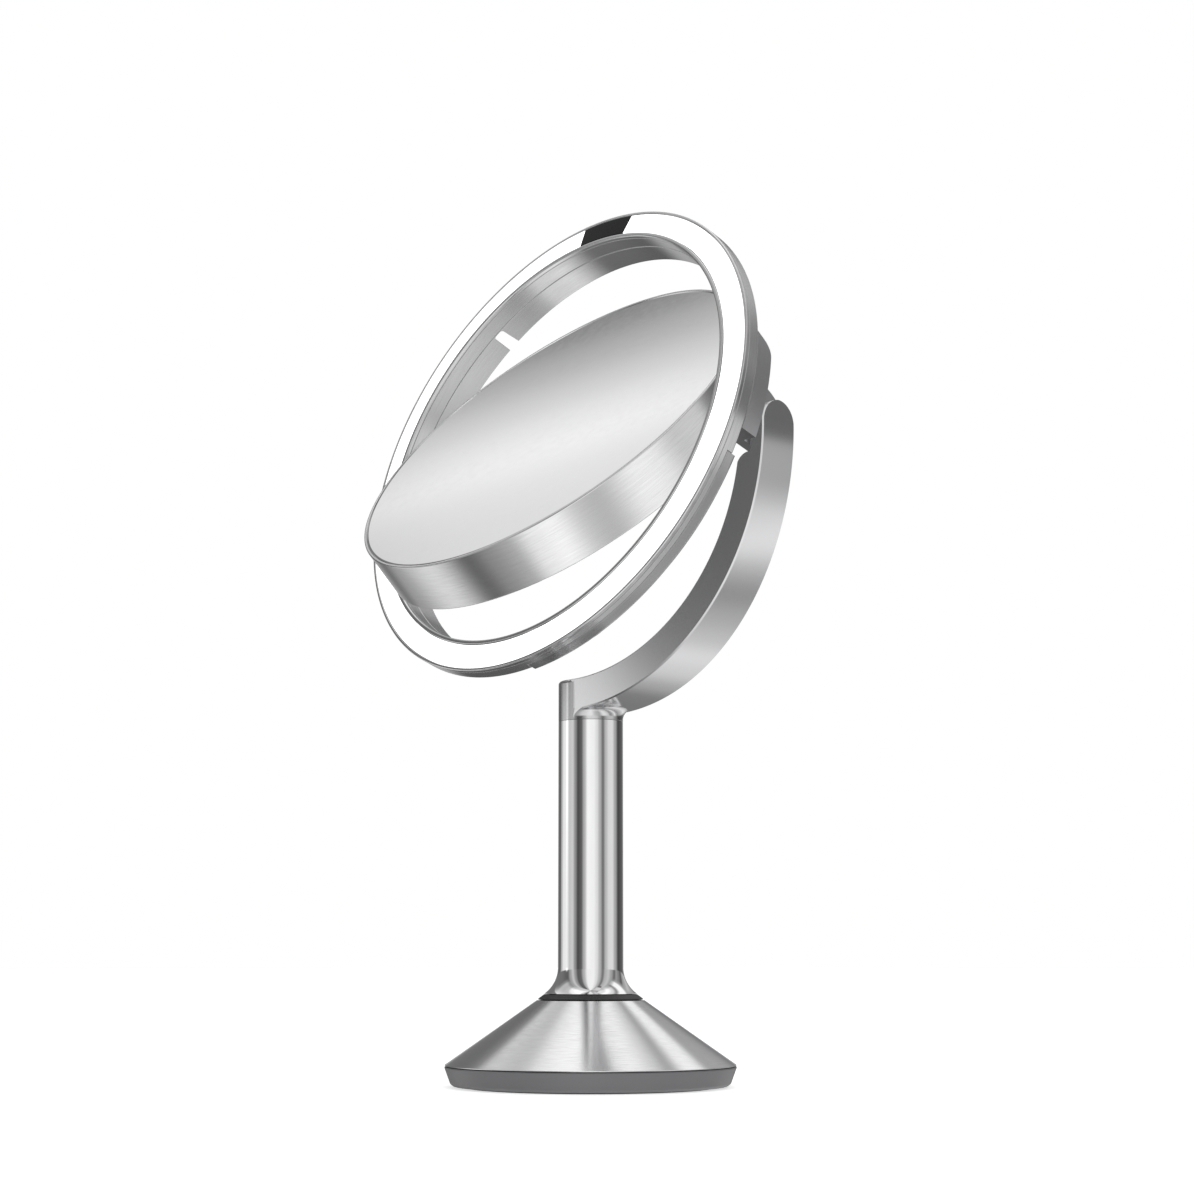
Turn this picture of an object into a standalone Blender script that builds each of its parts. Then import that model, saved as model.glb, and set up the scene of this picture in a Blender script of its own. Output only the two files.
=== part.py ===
"""Table-top lighted vanity mirror.

Metres, +Z up.  The origin is the centre of the foot, on the table.  The user
sits at -Y and the arm rises on the +X side.  A weighted cone carries a stem
and a quarter-round arm.  A light ring tilts at the end of the arm, and a
two-sided mirror flips inside the ring.
"""
from math import asin, atan2, cos, degrees, pi, radians, sin, sqrt

import bmesh
import bpy
from mathutils import Matrix, Vector

# ---------------------------------------------------------------- dimensions
GAP = 0.0003                    # between neighbouring pieces
WIDE_STEPS = 60                 # facets round the ring and the mirror
BODY_STEPS = 48                 # facets round the base and the stem
SMALL_STEPS = 16                # facets round pins and screws

# base and stem
FOOT_R = 0.0626                 # foot of the dark plinth
CONE_R = 0.0658                 # widest radius, where cone meets plinth
PLINTH_TOP = 0.0093
CONE_TOP_R = 0.0243
CONE_TOP = 0.03835
GASKET_TOP_R = 0.0210
GASKET_TOP = 0.0410
STEM_R = 0.01474
STEM_WALL = 0.0020
STEM_FLARE_R = 0.0145           # concave radius at the foot of the stem
STEM_TOP = 0.1636
TIE_ROD_R = 0.0030
WEIGHT_TOP = 0.0240
WEIGHT_BORE_R = 0.0036
BASE_SCREW_CIRCLE_R = 0.0280

# arm and tilt hinge
TILT_AXIS_Z = 0.2847
ARM_CENTRE_Z = 0.2853
ARM_INNER_R = 0.1029
ARM_OUTER_R = 0.1171
ARM_TIP_HALF_WIDTH = 0.01015
ARM_ROOT_HALF_WIDTH = 0.01437
ARM_TIP_FACE_X = 0.1096         # the tip is thinned on its inner side to here
ARM_FILLET_R = 0.0052           # between the boss and the underside of the arm
AXLE_R = 0.0030
AXLE_CLEAR_R = 0.00315
LUG_INNER_X = 0.1033
LUG_OUTER_X = 0.1086
LUG_R = 0.0120

# light ring: r is the radius, n the height along the ring's forward axis,
# both from the point where the tilt axis crosses the stem's axis
TILT_ANGLE = radians(19.2)      # ring leans back from upright
RING_OUTER_R = 0.1180
RING_INNER_R = 0.1038
RING_WALL = 0.0012
RING_FRONT_N = 0.02824          # front edge of the outer wall
RING_BACK_N = 0.02024
INNER_FRONT_N = 0.02985         # front edge of the inner wall
SLEEVE_WALL = 0.0010
SLEEVE_BACK_N = 0.0080
BEZEL_DEPTH = 0.0020
INNER_BEZEL_WIDTH = 0.0019
DIFFUSER_THICKNESS = 0.0020
LED_COUNT = 24
SENSOR_HALF_ANGLE = radians(7.9)
NOTCH_ANGLE = radians(134.3)    # counter-clockwise from +X
NOTCH_WIDTH = 0.0064
NOTCH_FRONT_N = 0.0196

# battery compartment behind the lower right of the ring
POD_START = radians(-12.5)
POD_END = radians(-78.6)
POD_FRONT_N = 0.0234
POD_SHOULDER_N = 0.0181
POD_BACK_N = 0.0109
POD_WALL = 0.0013
POD_BLOCK_ANGLE = radians(3.0)  # solid ends that take the cover screws
BUTTON_ANGLE = radians(-62.0)
BUTTON_R = 0.0030
BUTTON_AT_R = 0.1118
PORT_ANGLE = radians(-70.5)
PORT_AT_R = 0.1118

# two-sided mirror
FLIP_ANGLE = radians(24.2)      # mirror leans back from the ring's plane
PIVOT_N = 0.0190
DISC_R = 0.1016
DISC_HALF = 0.0123
DISC_WALL = 0.0013
GLASS_R = 0.1000
GLASS_THICKNESS = 0.0030
GLASS_RECESS = 0.0002
DISH_SAG = 0.0045               # depth of the magnifying side
PIVOT_PIN_R = 0.0018
PIVOT_CLEAR_R = 0.00195

COLLECTION_NAME = "lighted_vanity_mirror"
CUTTER_COLLECTION_NAME = "cutters"


# ------------------------------------------------------------------- set-up
def start_empty_scene():
    """Remove what the scene holds, and make the two collections."""
    for item in list(bpy.data.objects):
        bpy.data.objects.remove(item, do_unlink=True)
    collections = []
    for name in (COLLECTION_NAME, CUTTER_COLLECTION_NAME):
        collection = bpy.data.collections.new(name)
        bpy.context.scene.collection.children.link(collection)
        collections.append(collection)
    return collections


PARTS, CUTTERS = start_empty_scene()


def make_material(name, colour, metallic, roughness):
    material = bpy.data.materials.new(name)
    material.use_nodes = True
    shader = material.node_tree.nodes["Principled BSDF"]
    shader.inputs["Base Color"].default_value = (*colour, 1.0)
    shader.inputs["Metallic"].default_value = metallic
    shader.inputs["Roughness"].default_value = roughness
    return material


BRUSHED = make_material("brushed_steel", (0.62, 0.62, 0.63), 1.0, 0.32)
POLISHED = make_material("polished_steel", (0.78, 0.78, 0.79), 1.0, 0.08)
SATIN = make_material("satin_steel", (0.52, 0.52, 0.53), 1.0, 0.38)
ZINC = make_material("zinc_plate", (0.55, 0.55, 0.56), 1.0, 0.35)
IRON = make_material("cast_iron", (0.12, 0.12, 0.12), 0.8, 0.7)
GREY_PLASTIC = make_material("grey_plastic", (0.18, 0.18, 0.19), 0.0, 0.45)
BLACK_PLASTIC = make_material("black_plastic", (0.02, 0.02, 0.02), 0.0, 0.4)
RUBBER = make_material("rubber", (0.03, 0.03, 0.03), 0.0, 0.8)
GLOSS_BLACK = make_material("gloss_black", (0.01, 0.01, 0.01), 0.0, 0.06)
OPAL = make_material("opal_acrylic", (0.92, 0.92, 0.92), 0.0, 0.35)
MIRROR = make_material("mirror_glass", (0.90, 0.90, 0.90), 1.0, 0.02)
BOARD = make_material("circuit_board", (0.05, 0.25, 0.10), 0.0, 0.5)
CELL = make_material("battery_sleeve", (0.10, 0.20, 0.45), 0.0, 0.4)
FOAM = make_material("foam_tape", (0.05, 0.05, 0.05), 0.0, 0.9)


def make_empty(name, parent, location, rotation_x):
    empty = bpy.data.objects.new(name, None)
    PARTS.objects.link(empty)
    empty.parent = parent
    empty.location = location
    empty.rotation_euler = (rotation_x, 0.0, 0.0)
    return empty


# In this frame X is the tilt axis, Y points up the ring and Z faces forward.
RING_FRAME = make_empty("tilt_frame", None, (0.0, 0.0, TILT_AXIS_Z), pi / 2 - TILT_ANGLE)
DISC_FRAME = make_empty("flip_frame", RING_FRAME, (0.0, 0.0, PIVOT_N), -FLIP_ANGLE)


# -------------------------------------------------------------- shape tools
def place(mesh, name, material, frame=None, cutter=False):
    """Put a mesh in the scene as a part, or as a hidden cutter."""
    item = bpy.data.objects.new(name, mesh)
    (CUTTERS if cutter else PARTS).objects.link(item)
    item.parent = frame
    if cutter:
        item.hide_render = True
        item.display_type = 'WIRE'
    else:
        mesh.materials.append(material)
        mesh.shade_smooth()
        mesh.set_sharp_from_angle(angle=radians(35))
    return item


def mesh_from(build):
    """A mesh holding whatever the build function puts in its bmesh."""
    mesh = bpy.data.meshes.new("mesh")
    shape = bmesh.new()
    build(shape)
    shape.to_mesh(mesh)
    shape.free()
    return mesh


def turned(name, outline, material, frame=None, steps=BODY_STEPS, cutter=False):
    """A solid of revolution about Z.  The outline lists (radius, height)
    clockwise, so that it runs down on its outer side.  An outline that
    starts and ends on the axis stays open there."""
    on_axis = outline[0][0] == 0.0 and outline[-1][0] == 0.0

    def build(shape):
        points = [shape.verts.new((radius, 0.0, height)) for radius, height in outline]
        for first, second in zip(points, points[1:]):
            shape.edges.new((first, second))
        if not on_axis:
            shape.edges.new((points[-1], points[0]))

    item = place(mesh_from(build), name, material, frame, cutter)
    screw = item.modifiers.new("turn", 'SCREW')
    screw.axis = 'Z'
    screw.angle = 2 * pi
    screw.steps = steps
    screw.render_steps = steps
    screw.use_merge_vertices = True
    screw.merge_threshold = 0.00001
    screw.use_smooth_shade = True
    return item


def rod(name, material, radius, start, end, frame=None, steps=SMALL_STEPS, cutter=False):
    """A cylinder from one point to another, in the frame's coordinates."""
    start = Vector(start)
    end = Vector(end)
    turn = (end - start).to_track_quat('Z', 'Y').to_matrix().to_4x4()
    middle = Matrix.Translation((start + end) / 2)

    def build(shape):
        bmesh.ops.create_cone(shape, cap_ends=True, segments=steps, radius1=radius,
                              radius2=radius, depth=(end - start).length, matrix=middle @ turn)

    return place(mesh_from(build), name, material, frame, cutter)


def block(name, material, low, high, frame=None, turn_z=0.0, bevel=0.0, cutter=False):
    """A box between two corners, then turned about the frame's Z axis."""
    low = Vector(low)
    high = Vector(high)
    size = Matrix.Diagonal((high - low).to_4d())
    size[3][3] = 1.0

    def build(shape):
        middle = Matrix.Translation((low + high) / 2)
        spin = Matrix.Rotation(turn_z, 4, 'Z')
        bmesh.ops.create_cube(shape, size=1.0, matrix=spin @ middle @ size)

    item = place(mesh_from(build), name, material, frame, cutter)
    if bevel:
        add_bevel(item, bevel)
    return item


def plate(name, material, outline, low, high, frame=None, cutter=False):
    """A flat outline in X and Y, made solid from one height to another."""
    def build(shape):
        corners = [shape.verts.new((x, y, low)) for x, y in outline]
        face = shape.faces.new(corners)
        raised = bmesh.ops.extrude_face_region(shape, geom=[face])
        tops = [part for part in raised["geom"] if isinstance(part, bmesh.types.BMVert)]
        bmesh.ops.translate(shape, verts=tops, vec=(0.0, 0.0, high - low))
        bmesh.ops.recalc_face_normals(shape, faces=shape.faces)

    return place(mesh_from(build), name, material, frame, cutter)


def add_bevel(item, width, segments=2, angle=radians(40)):
    bevel = item.modifiers.new("bevel", 'BEVEL')
    bevel.width = width
    bevel.segments = segments
    bevel.limit_method = 'ANGLE'
    bevel.angle_limit = angle


def combine(item, other, operation):
    """Cut, join or trim a part with another shape, which is then hidden."""
    boolean = item.modifiers.new(operation.lower(), 'BOOLEAN')
    boolean.operation = operation
    boolean.solver = 'EXACT'
    boolean.object = other
    other.hide_render = True
    other.display_type = 'WIRE'


def cut(item, other):
    combine(item, other, 'DIFFERENCE')


def join(item, other):
    combine(item, other, 'UNION')


def polar(radius, angle):
    return radius * cos(angle), radius * sin(angle)


def wedge(name, start, end, low, high, inner=0.0, outer=0.16):
    """A hidden sector between two angles, in the ring's frame."""
    count = max(2, round(abs(end - start) / radians(6)))
    angles = [start + (end - start) * index / count for index in range(count + 1)]
    outline = [polar(outer, angle) for angle in angles]
    if inner:
        outline += [polar(inner, angle) for angle in reversed(angles)]
    else:
        outline.append((0.0, 0.0))
    return plate(name, None, outline, low, high, RING_FRAME, cutter=True)


def sector(name, outline, material, start, end, cutter=False):
    """The part of a turned shape that lies between two angles."""
    item = turned(name, outline, material, RING_FRAME, WIDE_STEPS, cutter)
    combine(item, wedge(name + "_sector", start, end, -0.02, 0.06), 'INTERSECT')
    return item


def arc(centre, radius, start, end, count):
    """Points along a circular arc, both ends included."""
    angles = [start + (end - start) * index / count for index in range(count + 1)]
    return [(centre[0] + radius * cos(angle), centre[1] + radius * sin(angle)) for angle in angles]


def ring_outline(inner, outer, low, high):
    return [(inner, high), (outer, high), (outer, low), (inner, low)]


# --------------------------------------------------------------------- base
def make_plinth():
    """The dark tray under the cone, recessed for the foot pad."""
    rim_low = 0.0007
    floor_low = 0.0015
    floor_high = 0.0035
    pad_recess_r = 0.0564
    outline = [(0.0622, PLINTH_TOP), (CONE_R - 0.0002, PLINTH_TOP),
               (FOOT_R + 0.0002, 0.0018), (FOOT_R - 0.0012, rim_low), (pad_recess_r, rim_low),
               (pad_recess_r, floor_low), (0.0080, floor_low), (0.0080, floor_high),
               (0.0596, floor_high)]
    plinth = turned("base_plinth", outline, GREY_PLASTIC)
    rod("foot_pad", RUBBER, pad_recess_r - 0.0004, (0, 0, 0), (0, 0, floor_low - GAP),
        steps=BODY_STEPS)
    return plinth


def make_weight():
    """The cast ballast, with a counterbore for the tie rod's nut."""
    low = 0.0038
    counterbore_r = 0.0083
    counterbore_top = 0.0090
    outline = [(WEIGHT_BORE_R, WEIGHT_TOP), (0.0400, WEIGHT_TOP), (0.0580, 0.0110), (0.0580, low),
               (counterbore_r, low), (counterbore_r, counterbore_top),
               (WEIGHT_BORE_R, counterbore_top)]
    return turned("base_weight", outline, IRON)


def make_base_screws(plinth, weight):
    """Four screws that go up through the tray into the ballast."""
    head_r = 0.0030
    shank_r = 0.0015
    for index in range(4):
        x, y = polar(BASE_SCREW_CIRCLE_R, radians(48.75 + 90 * index))
        screw = rod(f"base_screw_{index + 1}", ZINC, head_r, (x, y, 0.0017), (x, y, 0.0033))
        shank = rod(f"base_shank_{index + 1}", None, shank_r, (x, y, 0.0030), (x, y, 0.0130),
                    cutter=True)
        join(screw, shank)
        cut(screw, rod(f"base_socket_{index + 1}", None, 0.0012, (x, y, 0.0), (x, y, 0.0026),
                       steps=6, cutter=True))
        cut(plinth, rod(f"base_hole_{index + 1}", None, head_r + GAP, (x, y, -0.001),
                        (x, y, 0.005), cutter=True))
        cut(weight, rod(f"base_tap_{index + 1}", None, shank_r + GAP, (x, y, 0.001),
                        (x, y, 0.0135), cutter=True))


def make_cone_and_hub():
    lip = PLINTH_TOP + GAP
    cone_wall = 0.0016
    cone = [(CONE_TOP_R - cone_wall, CONE_TOP), (CONE_TOP_R, CONE_TOP), (CONE_R, lip),
            (CONE_R - cone_wall, lip)]
    turned("base_cone", cone, BRUSHED)
    hub_top = CONE_TOP - 0.0001
    hub = [(WEIGHT_BORE_R, hub_top), (0.0222, hub_top), (0.0222, 0.0340),
           (0.0130, WEIGHT_TOP + GAP), (WEIGHT_BORE_R, WEIGHT_TOP + GAP)]
    turned("base_hub", hub, BLACK_PLASTIC)
    gasket = [(0.0124, GASKET_TOP), (GASKET_TOP_R, GASKET_TOP),
              (CONE_TOP_R - 0.0001, CONE_TOP + GAP), (0.0124, CONE_TOP + GAP)]
    turned("stem_gasket", gasket, RUBBER)


def make_stem():
    """The polished tube, with a foot that flares into the cone's slope."""
    foot_z = GASKET_TOP + GAP
    cone_slope = atan2(CONE_TOP - PLINTH_TOP, CONE_R - CONE_TOP_R)
    sweep = pi / 2 - cone_slope
    centre = (STEM_R + STEM_FLARE_R, foot_z + STEM_FLARE_R * sin(sweep))
    flare = arc(centre, STEM_FLARE_R, pi, pi + sweep, 7)
    outline = [(STEM_R - STEM_WALL, STEM_TOP), (STEM_R, STEM_TOP), *flare,
               (STEM_R - STEM_WALL, foot_z)]
    turned("stem_tube", outline, POLISHED)


def make_tie_rod():
    """The rod that clamps arm, stem and base together, with its nut."""
    rod("tie_rod", ZINC, TIE_ROD_R, (0, 0, 0.0026), (0, 0, 0.1720))
    bore = TIE_ROD_R + GAP
    turned("tie_washer", ring_outline(bore, 0.0078, 0.0074, 0.0087), ZINC, steps=24)
    nut = rod("tie_nut", ZINC, 0.0058, (0, 0, 0.0030), (0, 0, 0.0071), steps=6)
    cut(nut, rod("tie_nut_bore", None, bore, (0, 0, 0.0), (0, 0, 0.0080), cutter=True))


# ---------------------------------------------------------------------- arm
def arm_stations():
    """(angle below horizontal, half width) along the arm, root to tip, and
    then the heights of the rounded tip above the tilt axis."""
    curve_count = 14
    for index in range(curve_count + 1):
        angle = pi / 2 * (1 - index / curve_count)
        grow = ARM_ROOT_HALF_WIDTH - ARM_TIP_HALF_WIDTH
        yield angle, ARM_TIP_HALF_WIDTH + grow * sin(angle) ** 2


def arm_fillet_outline():
    """A solid whose side sweeps from the boss out to the arm's underside."""
    centre_r = STEM_R - 0.0001 + ARM_FILLET_R
    reach = ARM_OUTER_R + ARM_FILLET_R
    centre_z = ARM_CENTRE_Z - sqrt(reach ** 2 - centre_r ** 2)
    sweep = arc((centre_r, centre_z), ARM_FILLET_R, radians(100), radians(180), 5)
    top = sweep[0][1] + 0.0006
    return [(0.0, top), (sweep[0][0], top), *sweep, (0.0, sweep[-1][1])]


def make_arm():
    """The quarter-round arm: a bent sheet made solid, with a round tip at
    its top and a round boss that meets the stem at its foot."""
    rows = []
    for angle, half in arm_stations():
        x = ARM_INNER_R * cos(angle)
        z = ARM_CENTRE_Z - ARM_INNER_R * sin(angle)
        rows.append((x, z, half))
    tip_shift = TILT_AXIS_Z - ARM_CENTRE_Z
    for lift in (25, 45, 62, 76, 86):
        turn = radians(lift)
        rows.append((ARM_INNER_R, ARM_CENTRE_Z + tip_shift + ARM_TIP_HALF_WIDTH * sin(turn),
                     ARM_TIP_HALF_WIDTH * cos(turn)))

    def build(shape):
        strips = []
        for x, z, half in rows:
            strips.append([shape.verts.new((x, y, z)) for y in (-half, half)])
        for low, high in zip(strips, strips[1:]):
            shape.faces.new((low[0], low[1], high[1], high[0]))

    arm = place(mesh_from(build), "arm", SATIN)
    thick = arm.modifiers.new("thickness", 'SOLIDIFY')
    thick.thickness = ARM_OUTER_R - ARM_INNER_R
    thick.offset = 1.0
    thick.use_even_offset = True
    boss_top = ARM_CENTRE_Z - ARM_INNER_R - 0.00005
    boss = rod("arm_boss", None, STEM_R, (0, 0, STEM_TOP + GAP), (0, 0, boss_top),
               steps=BODY_STEPS, cutter=True)
    join(arm, boss)
    fillet = turned("arm_fillet", arm_fillet_outline(), None, cutter=True)
    combine(fillet, block("arm_fillet_trim", None, (-0.002, -0.0138, 0.160), (0.030, 0.0138, 0.175),
                          cutter=True), 'INTERSECT')
    join(arm, fillet)
    cut(arm, rod("arm_rod_hole", None, TIE_ROD_R + GAP, (0, 0, 0.160), (0, 0, 0.1730),
                 cutter=True))
    ledge = TILT_AXIS_Z - LUG_R - 0.0006
    cut(arm, block("arm_tip_recess", None, (0.095, -0.02, ledge), (ARM_TIP_FACE_X, 0.02, 0.31),
                   cutter=True))
    cut(arm, rod("arm_axle_hole", None, AXLE_CLEAR_R, (0.105, 0, TILT_AXIS_Z),
                 (0.1151, 0, TILT_AXIS_Z), cutter=True))
    return arm


def washer_on_x(name, material, bore, radius, x_low, x_high, height, frame=None):
    """A flat washer whose axis lies along X."""
    washer = rod(name, material, radius, (x_low, 0, height), (x_high, 0, height), frame, steps=24)
    hole = rod(name + "_bore", None, bore, (x_low - 0.001, 0, height),
               (x_high + 0.001, 0, height), frame, steps=24, cutter=True)
    cut(washer, hole)


def make_tilt_hinge():
    """The axle screw in the arm's tip, and the washers that grip the lug."""
    z = TILT_AXIS_Z
    axle = rod("tilt_axle", ZINC, 0.0051, (0.1035, 0, z), (0.1047, 0, z), steps=24)
    join(axle, rod("tilt_axle_shank", None, AXLE_R, (0.1042, 0, z), (0.1148, 0, z), cutter=True))
    cut(axle, rod("tilt_axle_socket", None, 0.0015, (0.100, 0, z), (0.1041, 0, z), steps=6,
                  cutter=True))
    washer_on_x("spring_washer", ZINC, AXLE_CLEAR_R, 0.0050, 0.10495, 0.10535, z)
    washer_on_x("friction_washer", BLACK_PLASTIC, AXLE_CLEAR_R, 0.0090, LUG_OUTER_X + 0.0002,
                ARM_TIP_FACE_X - 0.0002, z)


# --------------------------------------------------------------- light ring
def diffuser_outline(proud=0.0):
    """The front of the light band falls slightly from inside to outside."""
    inner_r = RING_INNER_R + INNER_BEZEL_WIDTH + GAP
    outer_r = RING_OUTER_R - RING_WALL - GAP
    inner_n = INNER_FRONT_N - 0.0004 + proud
    outer_n = RING_FRONT_N - 0.0002 + proud
    return [(inner_r, inner_n), (outer_r, outer_n), (outer_r, outer_n - DIFFUSER_THICKNESS),
            (inner_r, inner_n - DIFFUSER_THICKNESS)]


def make_ring_housing():
    """The channel that holds the lights, cut back where the pod joins."""
    back_high = RING_BACK_N + 0.0013
    inner_wall_r = RING_INNER_R + RING_WALL
    outer_wall_r = RING_OUTER_R - RING_WALL
    inner_top = INNER_FRONT_N - BEZEL_DEPTH - GAP
    outer_top = RING_FRONT_N - BEZEL_DEPTH - GAP
    outline = [(outer_wall_r, outer_top), (RING_OUTER_R, outer_top),
               (RING_OUTER_R, RING_BACK_N + 0.0004), (RING_OUTER_R - 0.0004, RING_BACK_N),
               (RING_INNER_R, RING_BACK_N), (RING_INNER_R, inner_top),
               (inner_wall_r, inner_top), (inner_wall_r, back_high), (outer_wall_r, back_high)]
    housing = turned("ring_housing", outline, BRUSHED, RING_FRAME, WIDE_STEPS)
    cut(housing, wedge("pod_seat", POD_START + 0.003, POD_END - 0.003, 0.010,
                       POD_FRONT_N + GAP, 0.1147, 0.130))
    for side in (1.0, -1.0):
        name = f"housing_pin_groove_{'right' if side > 0 else 'left'}"
        cut(housing, rod(name, None, PIVOT_CLEAR_R, (side * 0.1030, 0, PIVOT_N),
                         (side * 0.1114, 0, PIVOT_N), RING_FRAME, cutter=True))
    return housing


def make_bezels():
    outer_back = RING_FRONT_N - BEZEL_DEPTH
    outer = [(RING_OUTER_R - RING_WALL, RING_FRONT_N), (RING_OUTER_R - 0.0009, RING_FRONT_N),
             (RING_OUTER_R, RING_FRONT_N - 0.0009), (RING_OUTER_R, outer_back),
             (RING_OUTER_R - RING_WALL, outer_back)]
    turned("outer_bezel", outer, POLISHED, RING_FRAME, WIDE_STEPS)
    inner_back = INNER_FRONT_N - BEZEL_DEPTH
    lip_r = RING_INNER_R + INNER_BEZEL_WIDTH
    inner = [(RING_INNER_R + 0.0004, INNER_FRONT_N), (lip_r, INNER_FRONT_N),
             (lip_r, inner_back), (RING_INNER_R, inner_back),
             (RING_INNER_R, INNER_FRONT_N - 0.0004)]
    turned("inner_bezel", inner, POLISHED, RING_FRAME, WIDE_STEPS)


def make_light_band():
    """The opal diffuser, and the dark sensor window that fills its gap."""
    diffuser = turned("light_diffuser", diffuser_outline(), OPAL, RING_FRAME, WIDE_STEPS)
    cut(diffuser, wedge("diffuser_gap", pi / 2 - SENSOR_HALF_ANGLE, pi / 2 + SENSOR_HALF_ANGLE,
                        0.020, 0.035))
    window_half = SENSOR_HALF_ANGLE - radians(0.18)
    sector("sensor_window", diffuser_outline(0.0001), GLOSS_BLACK, pi / 2 - window_half,
           pi / 2 + window_half)
    board_half = radians(6.4)
    sector("sensor_board", ring_outline(0.1062, 0.1158, 0.0252, 0.0257), BOARD,
           pi / 2 - board_half, pi / 2 + board_half)


def make_led_board():
    low = 0.0225
    high = 0.0239
    board = turned("led_board", ring_outline(0.1058, 0.1148, low, high), BOARD, RING_FRAME,
                   WIDE_STEPS)

    def build(shape):
        size = Matrix.Diagonal((0.0028, 0.0028, 0.0012, 1.0))
        for index in range(LED_COUNT):
            spin = Matrix.Rotation((index + 0.5) * 2 * pi / LED_COUNT, 4, 'Z')
            spot = Matrix.Translation((0.1103, 0.0, high + 0.0003))
            bmesh.ops.create_cube(shape, size=1.0, matrix=spin @ spot @ size)

    join(board, place(mesh_from(build), "led_packages", None, RING_FRAME, cutter=True))


def make_rear_sleeve():
    """The deep inner wall behind the lights.  It is open at the hinge, and
    has a small square notch at its upper left."""
    outer_r = RING_INNER_R + SLEEVE_WALL
    front = RING_BACK_N - GAP
    sleeve = turned("rear_sleeve", ring_outline(RING_INNER_R, outer_r, SLEEVE_BACK_N, front),
                    BRUSHED, RING_FRAME, WIDE_STEPS)
    half = NOTCH_WIDTH / 2
    cut(sleeve, block("sleeve_notch", None, (0.100, -half, 0.0), (0.110, half, NOTCH_FRONT_N),
                      RING_FRAME, NOTCH_ANGLE, 0.0014, cutter=True))
    cut(sleeve, block("hinge_window", None, (0.095, -0.0134, 0.0), (0.115, 0.0206, 0.025),
                      RING_FRAME, cutter=True))
    cut(sleeve, block("arm_relief", None, (0.095, -0.0232, 0.0), (0.115, -0.0130, 0.0126),
                      RING_FRAME, cutter=True))
    cut(sleeve, rod("left_pin_hole", None, 0.0024, (-0.107, 0, PIVOT_N), (-0.101, 0, PIVOT_N),
                    RING_FRAME, cutter=True))


def pod_section():
    """Outline of the battery compartment's outside, closed along its front."""
    inner_r = RING_INNER_R + SLEEVE_WALL + 0.0005
    return [(inner_r, RING_BACK_N - GAP), (0.1152, RING_BACK_N - GAP), (0.1152, POD_FRONT_N),
            (RING_OUTER_R, POD_FRONT_N), (RING_OUTER_R, POD_SHOULDER_N + 0.0013),
            (RING_OUTER_R - 0.0010, POD_SHOULDER_N), (0.1070, POD_BACK_N), (inner_r, POD_BACK_N)]


def pod_hollow():
    inner_r = RING_INNER_R + SLEEVE_WALL - 0.0010
    wall = POD_WALL
    return [(inner_r, 0.030), (RING_OUTER_R - wall, 0.030),
            (RING_OUTER_R - wall, POD_SHOULDER_N + 0.0018),
            (RING_OUTER_R - 0.0020, POD_SHOULDER_N + 0.0009), (0.1066, POD_BACK_N + wall),
            (inner_r, POD_BACK_N + wall)]


def make_battery_cover():
    """The compartment's shell, with solid ends for its two screws."""
    cover = sector("battery_cover", pod_section(), BRUSHED, POD_START, POD_END)
    hollow = sector("pod_hollow", pod_hollow(), None, POD_START - POD_BLOCK_ANGLE,
                    POD_END + POD_BLOCK_ANGLE, cutter=True)
    cut(cover, hollow)
    return cover


def make_cover_screws(cover, housing):
    screw_r = 0.1105
    for index, angle in enumerate((POD_START - radians(1.5), POD_END + radians(1.5))):
        x, y = polar(screw_r, angle)
        name = f"cover_screw_{index + 1}"
        screw = rod(name, ZINC, 0.0017, (x, y, 0.0150), (x, y, 0.0164), RING_FRAME)
        join(screw, rod(name + "_shank", None, 0.0009, (x, y, 0.0160), (x, y, 0.0212),
                        RING_FRAME, steps=12, cutter=True))
        cut(screw, rod(name + "_socket", None, 0.0008, (x, y, 0.0140), (x, y, 0.0157),
                       RING_FRAME, steps=6, cutter=True))
        bore = rod(name + "_bore", None, 0.0012, (x, y, 0.0120), (x, y, 0.0240), RING_FRAME,
                   steps=12, cutter=True)
        cut(cover, rod(name + "_seat", None, 0.0020, (x, y, 0.0080), (x, y, 0.0167),
                       RING_FRAME, cutter=True))
        cut(cover, bore)
        cut(housing, bore)


def pod_face_frame(name, angle, at_r):
    """A frame on the compartment's sloping outside.  Its Z axis points into
    the compartment, its X axis away from the ring's centre."""
    rise = POD_SHOULDER_N - POD_BACK_N
    run = RING_OUTER_R - 0.0010 - 0.1070
    slope = atan2(rise, run)
    surface_n = POD_BACK_N + (at_r - 0.1070) * rise / run
    frame = make_empty(name, RING_FRAME, (0.0, 0.0, 0.0), 0.0)
    spot = Matrix.Translation((at_r, 0.0, surface_n))
    frame.matrix_local = Matrix.Rotation(angle, 4, 'Z') @ spot @ Matrix.Rotation(-slope, 4, 'Y')
    return frame


def make_power_button(cover):
    face = pod_face_frame("button_frame", BUTTON_ANGLE, BUTTON_AT_R)
    button = rod("power_button", BLACK_PLASTIC, BUTTON_R, (0, 0, -0.0008), (0, 0, 0.0021), face,
                 steps=24)
    join(button, rod("button_flange", None, BUTTON_R + 0.0006, (0, 0, 0.0016), (0, 0, 0.0021),
                     face, steps=24, cutter=True))
    cut(cover, rod("button_hole", None, BUTTON_R + 0.0002, (0, 0, -0.0060), (0, 0, 0.0030),
                   face, steps=24, cutter=True))


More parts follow.
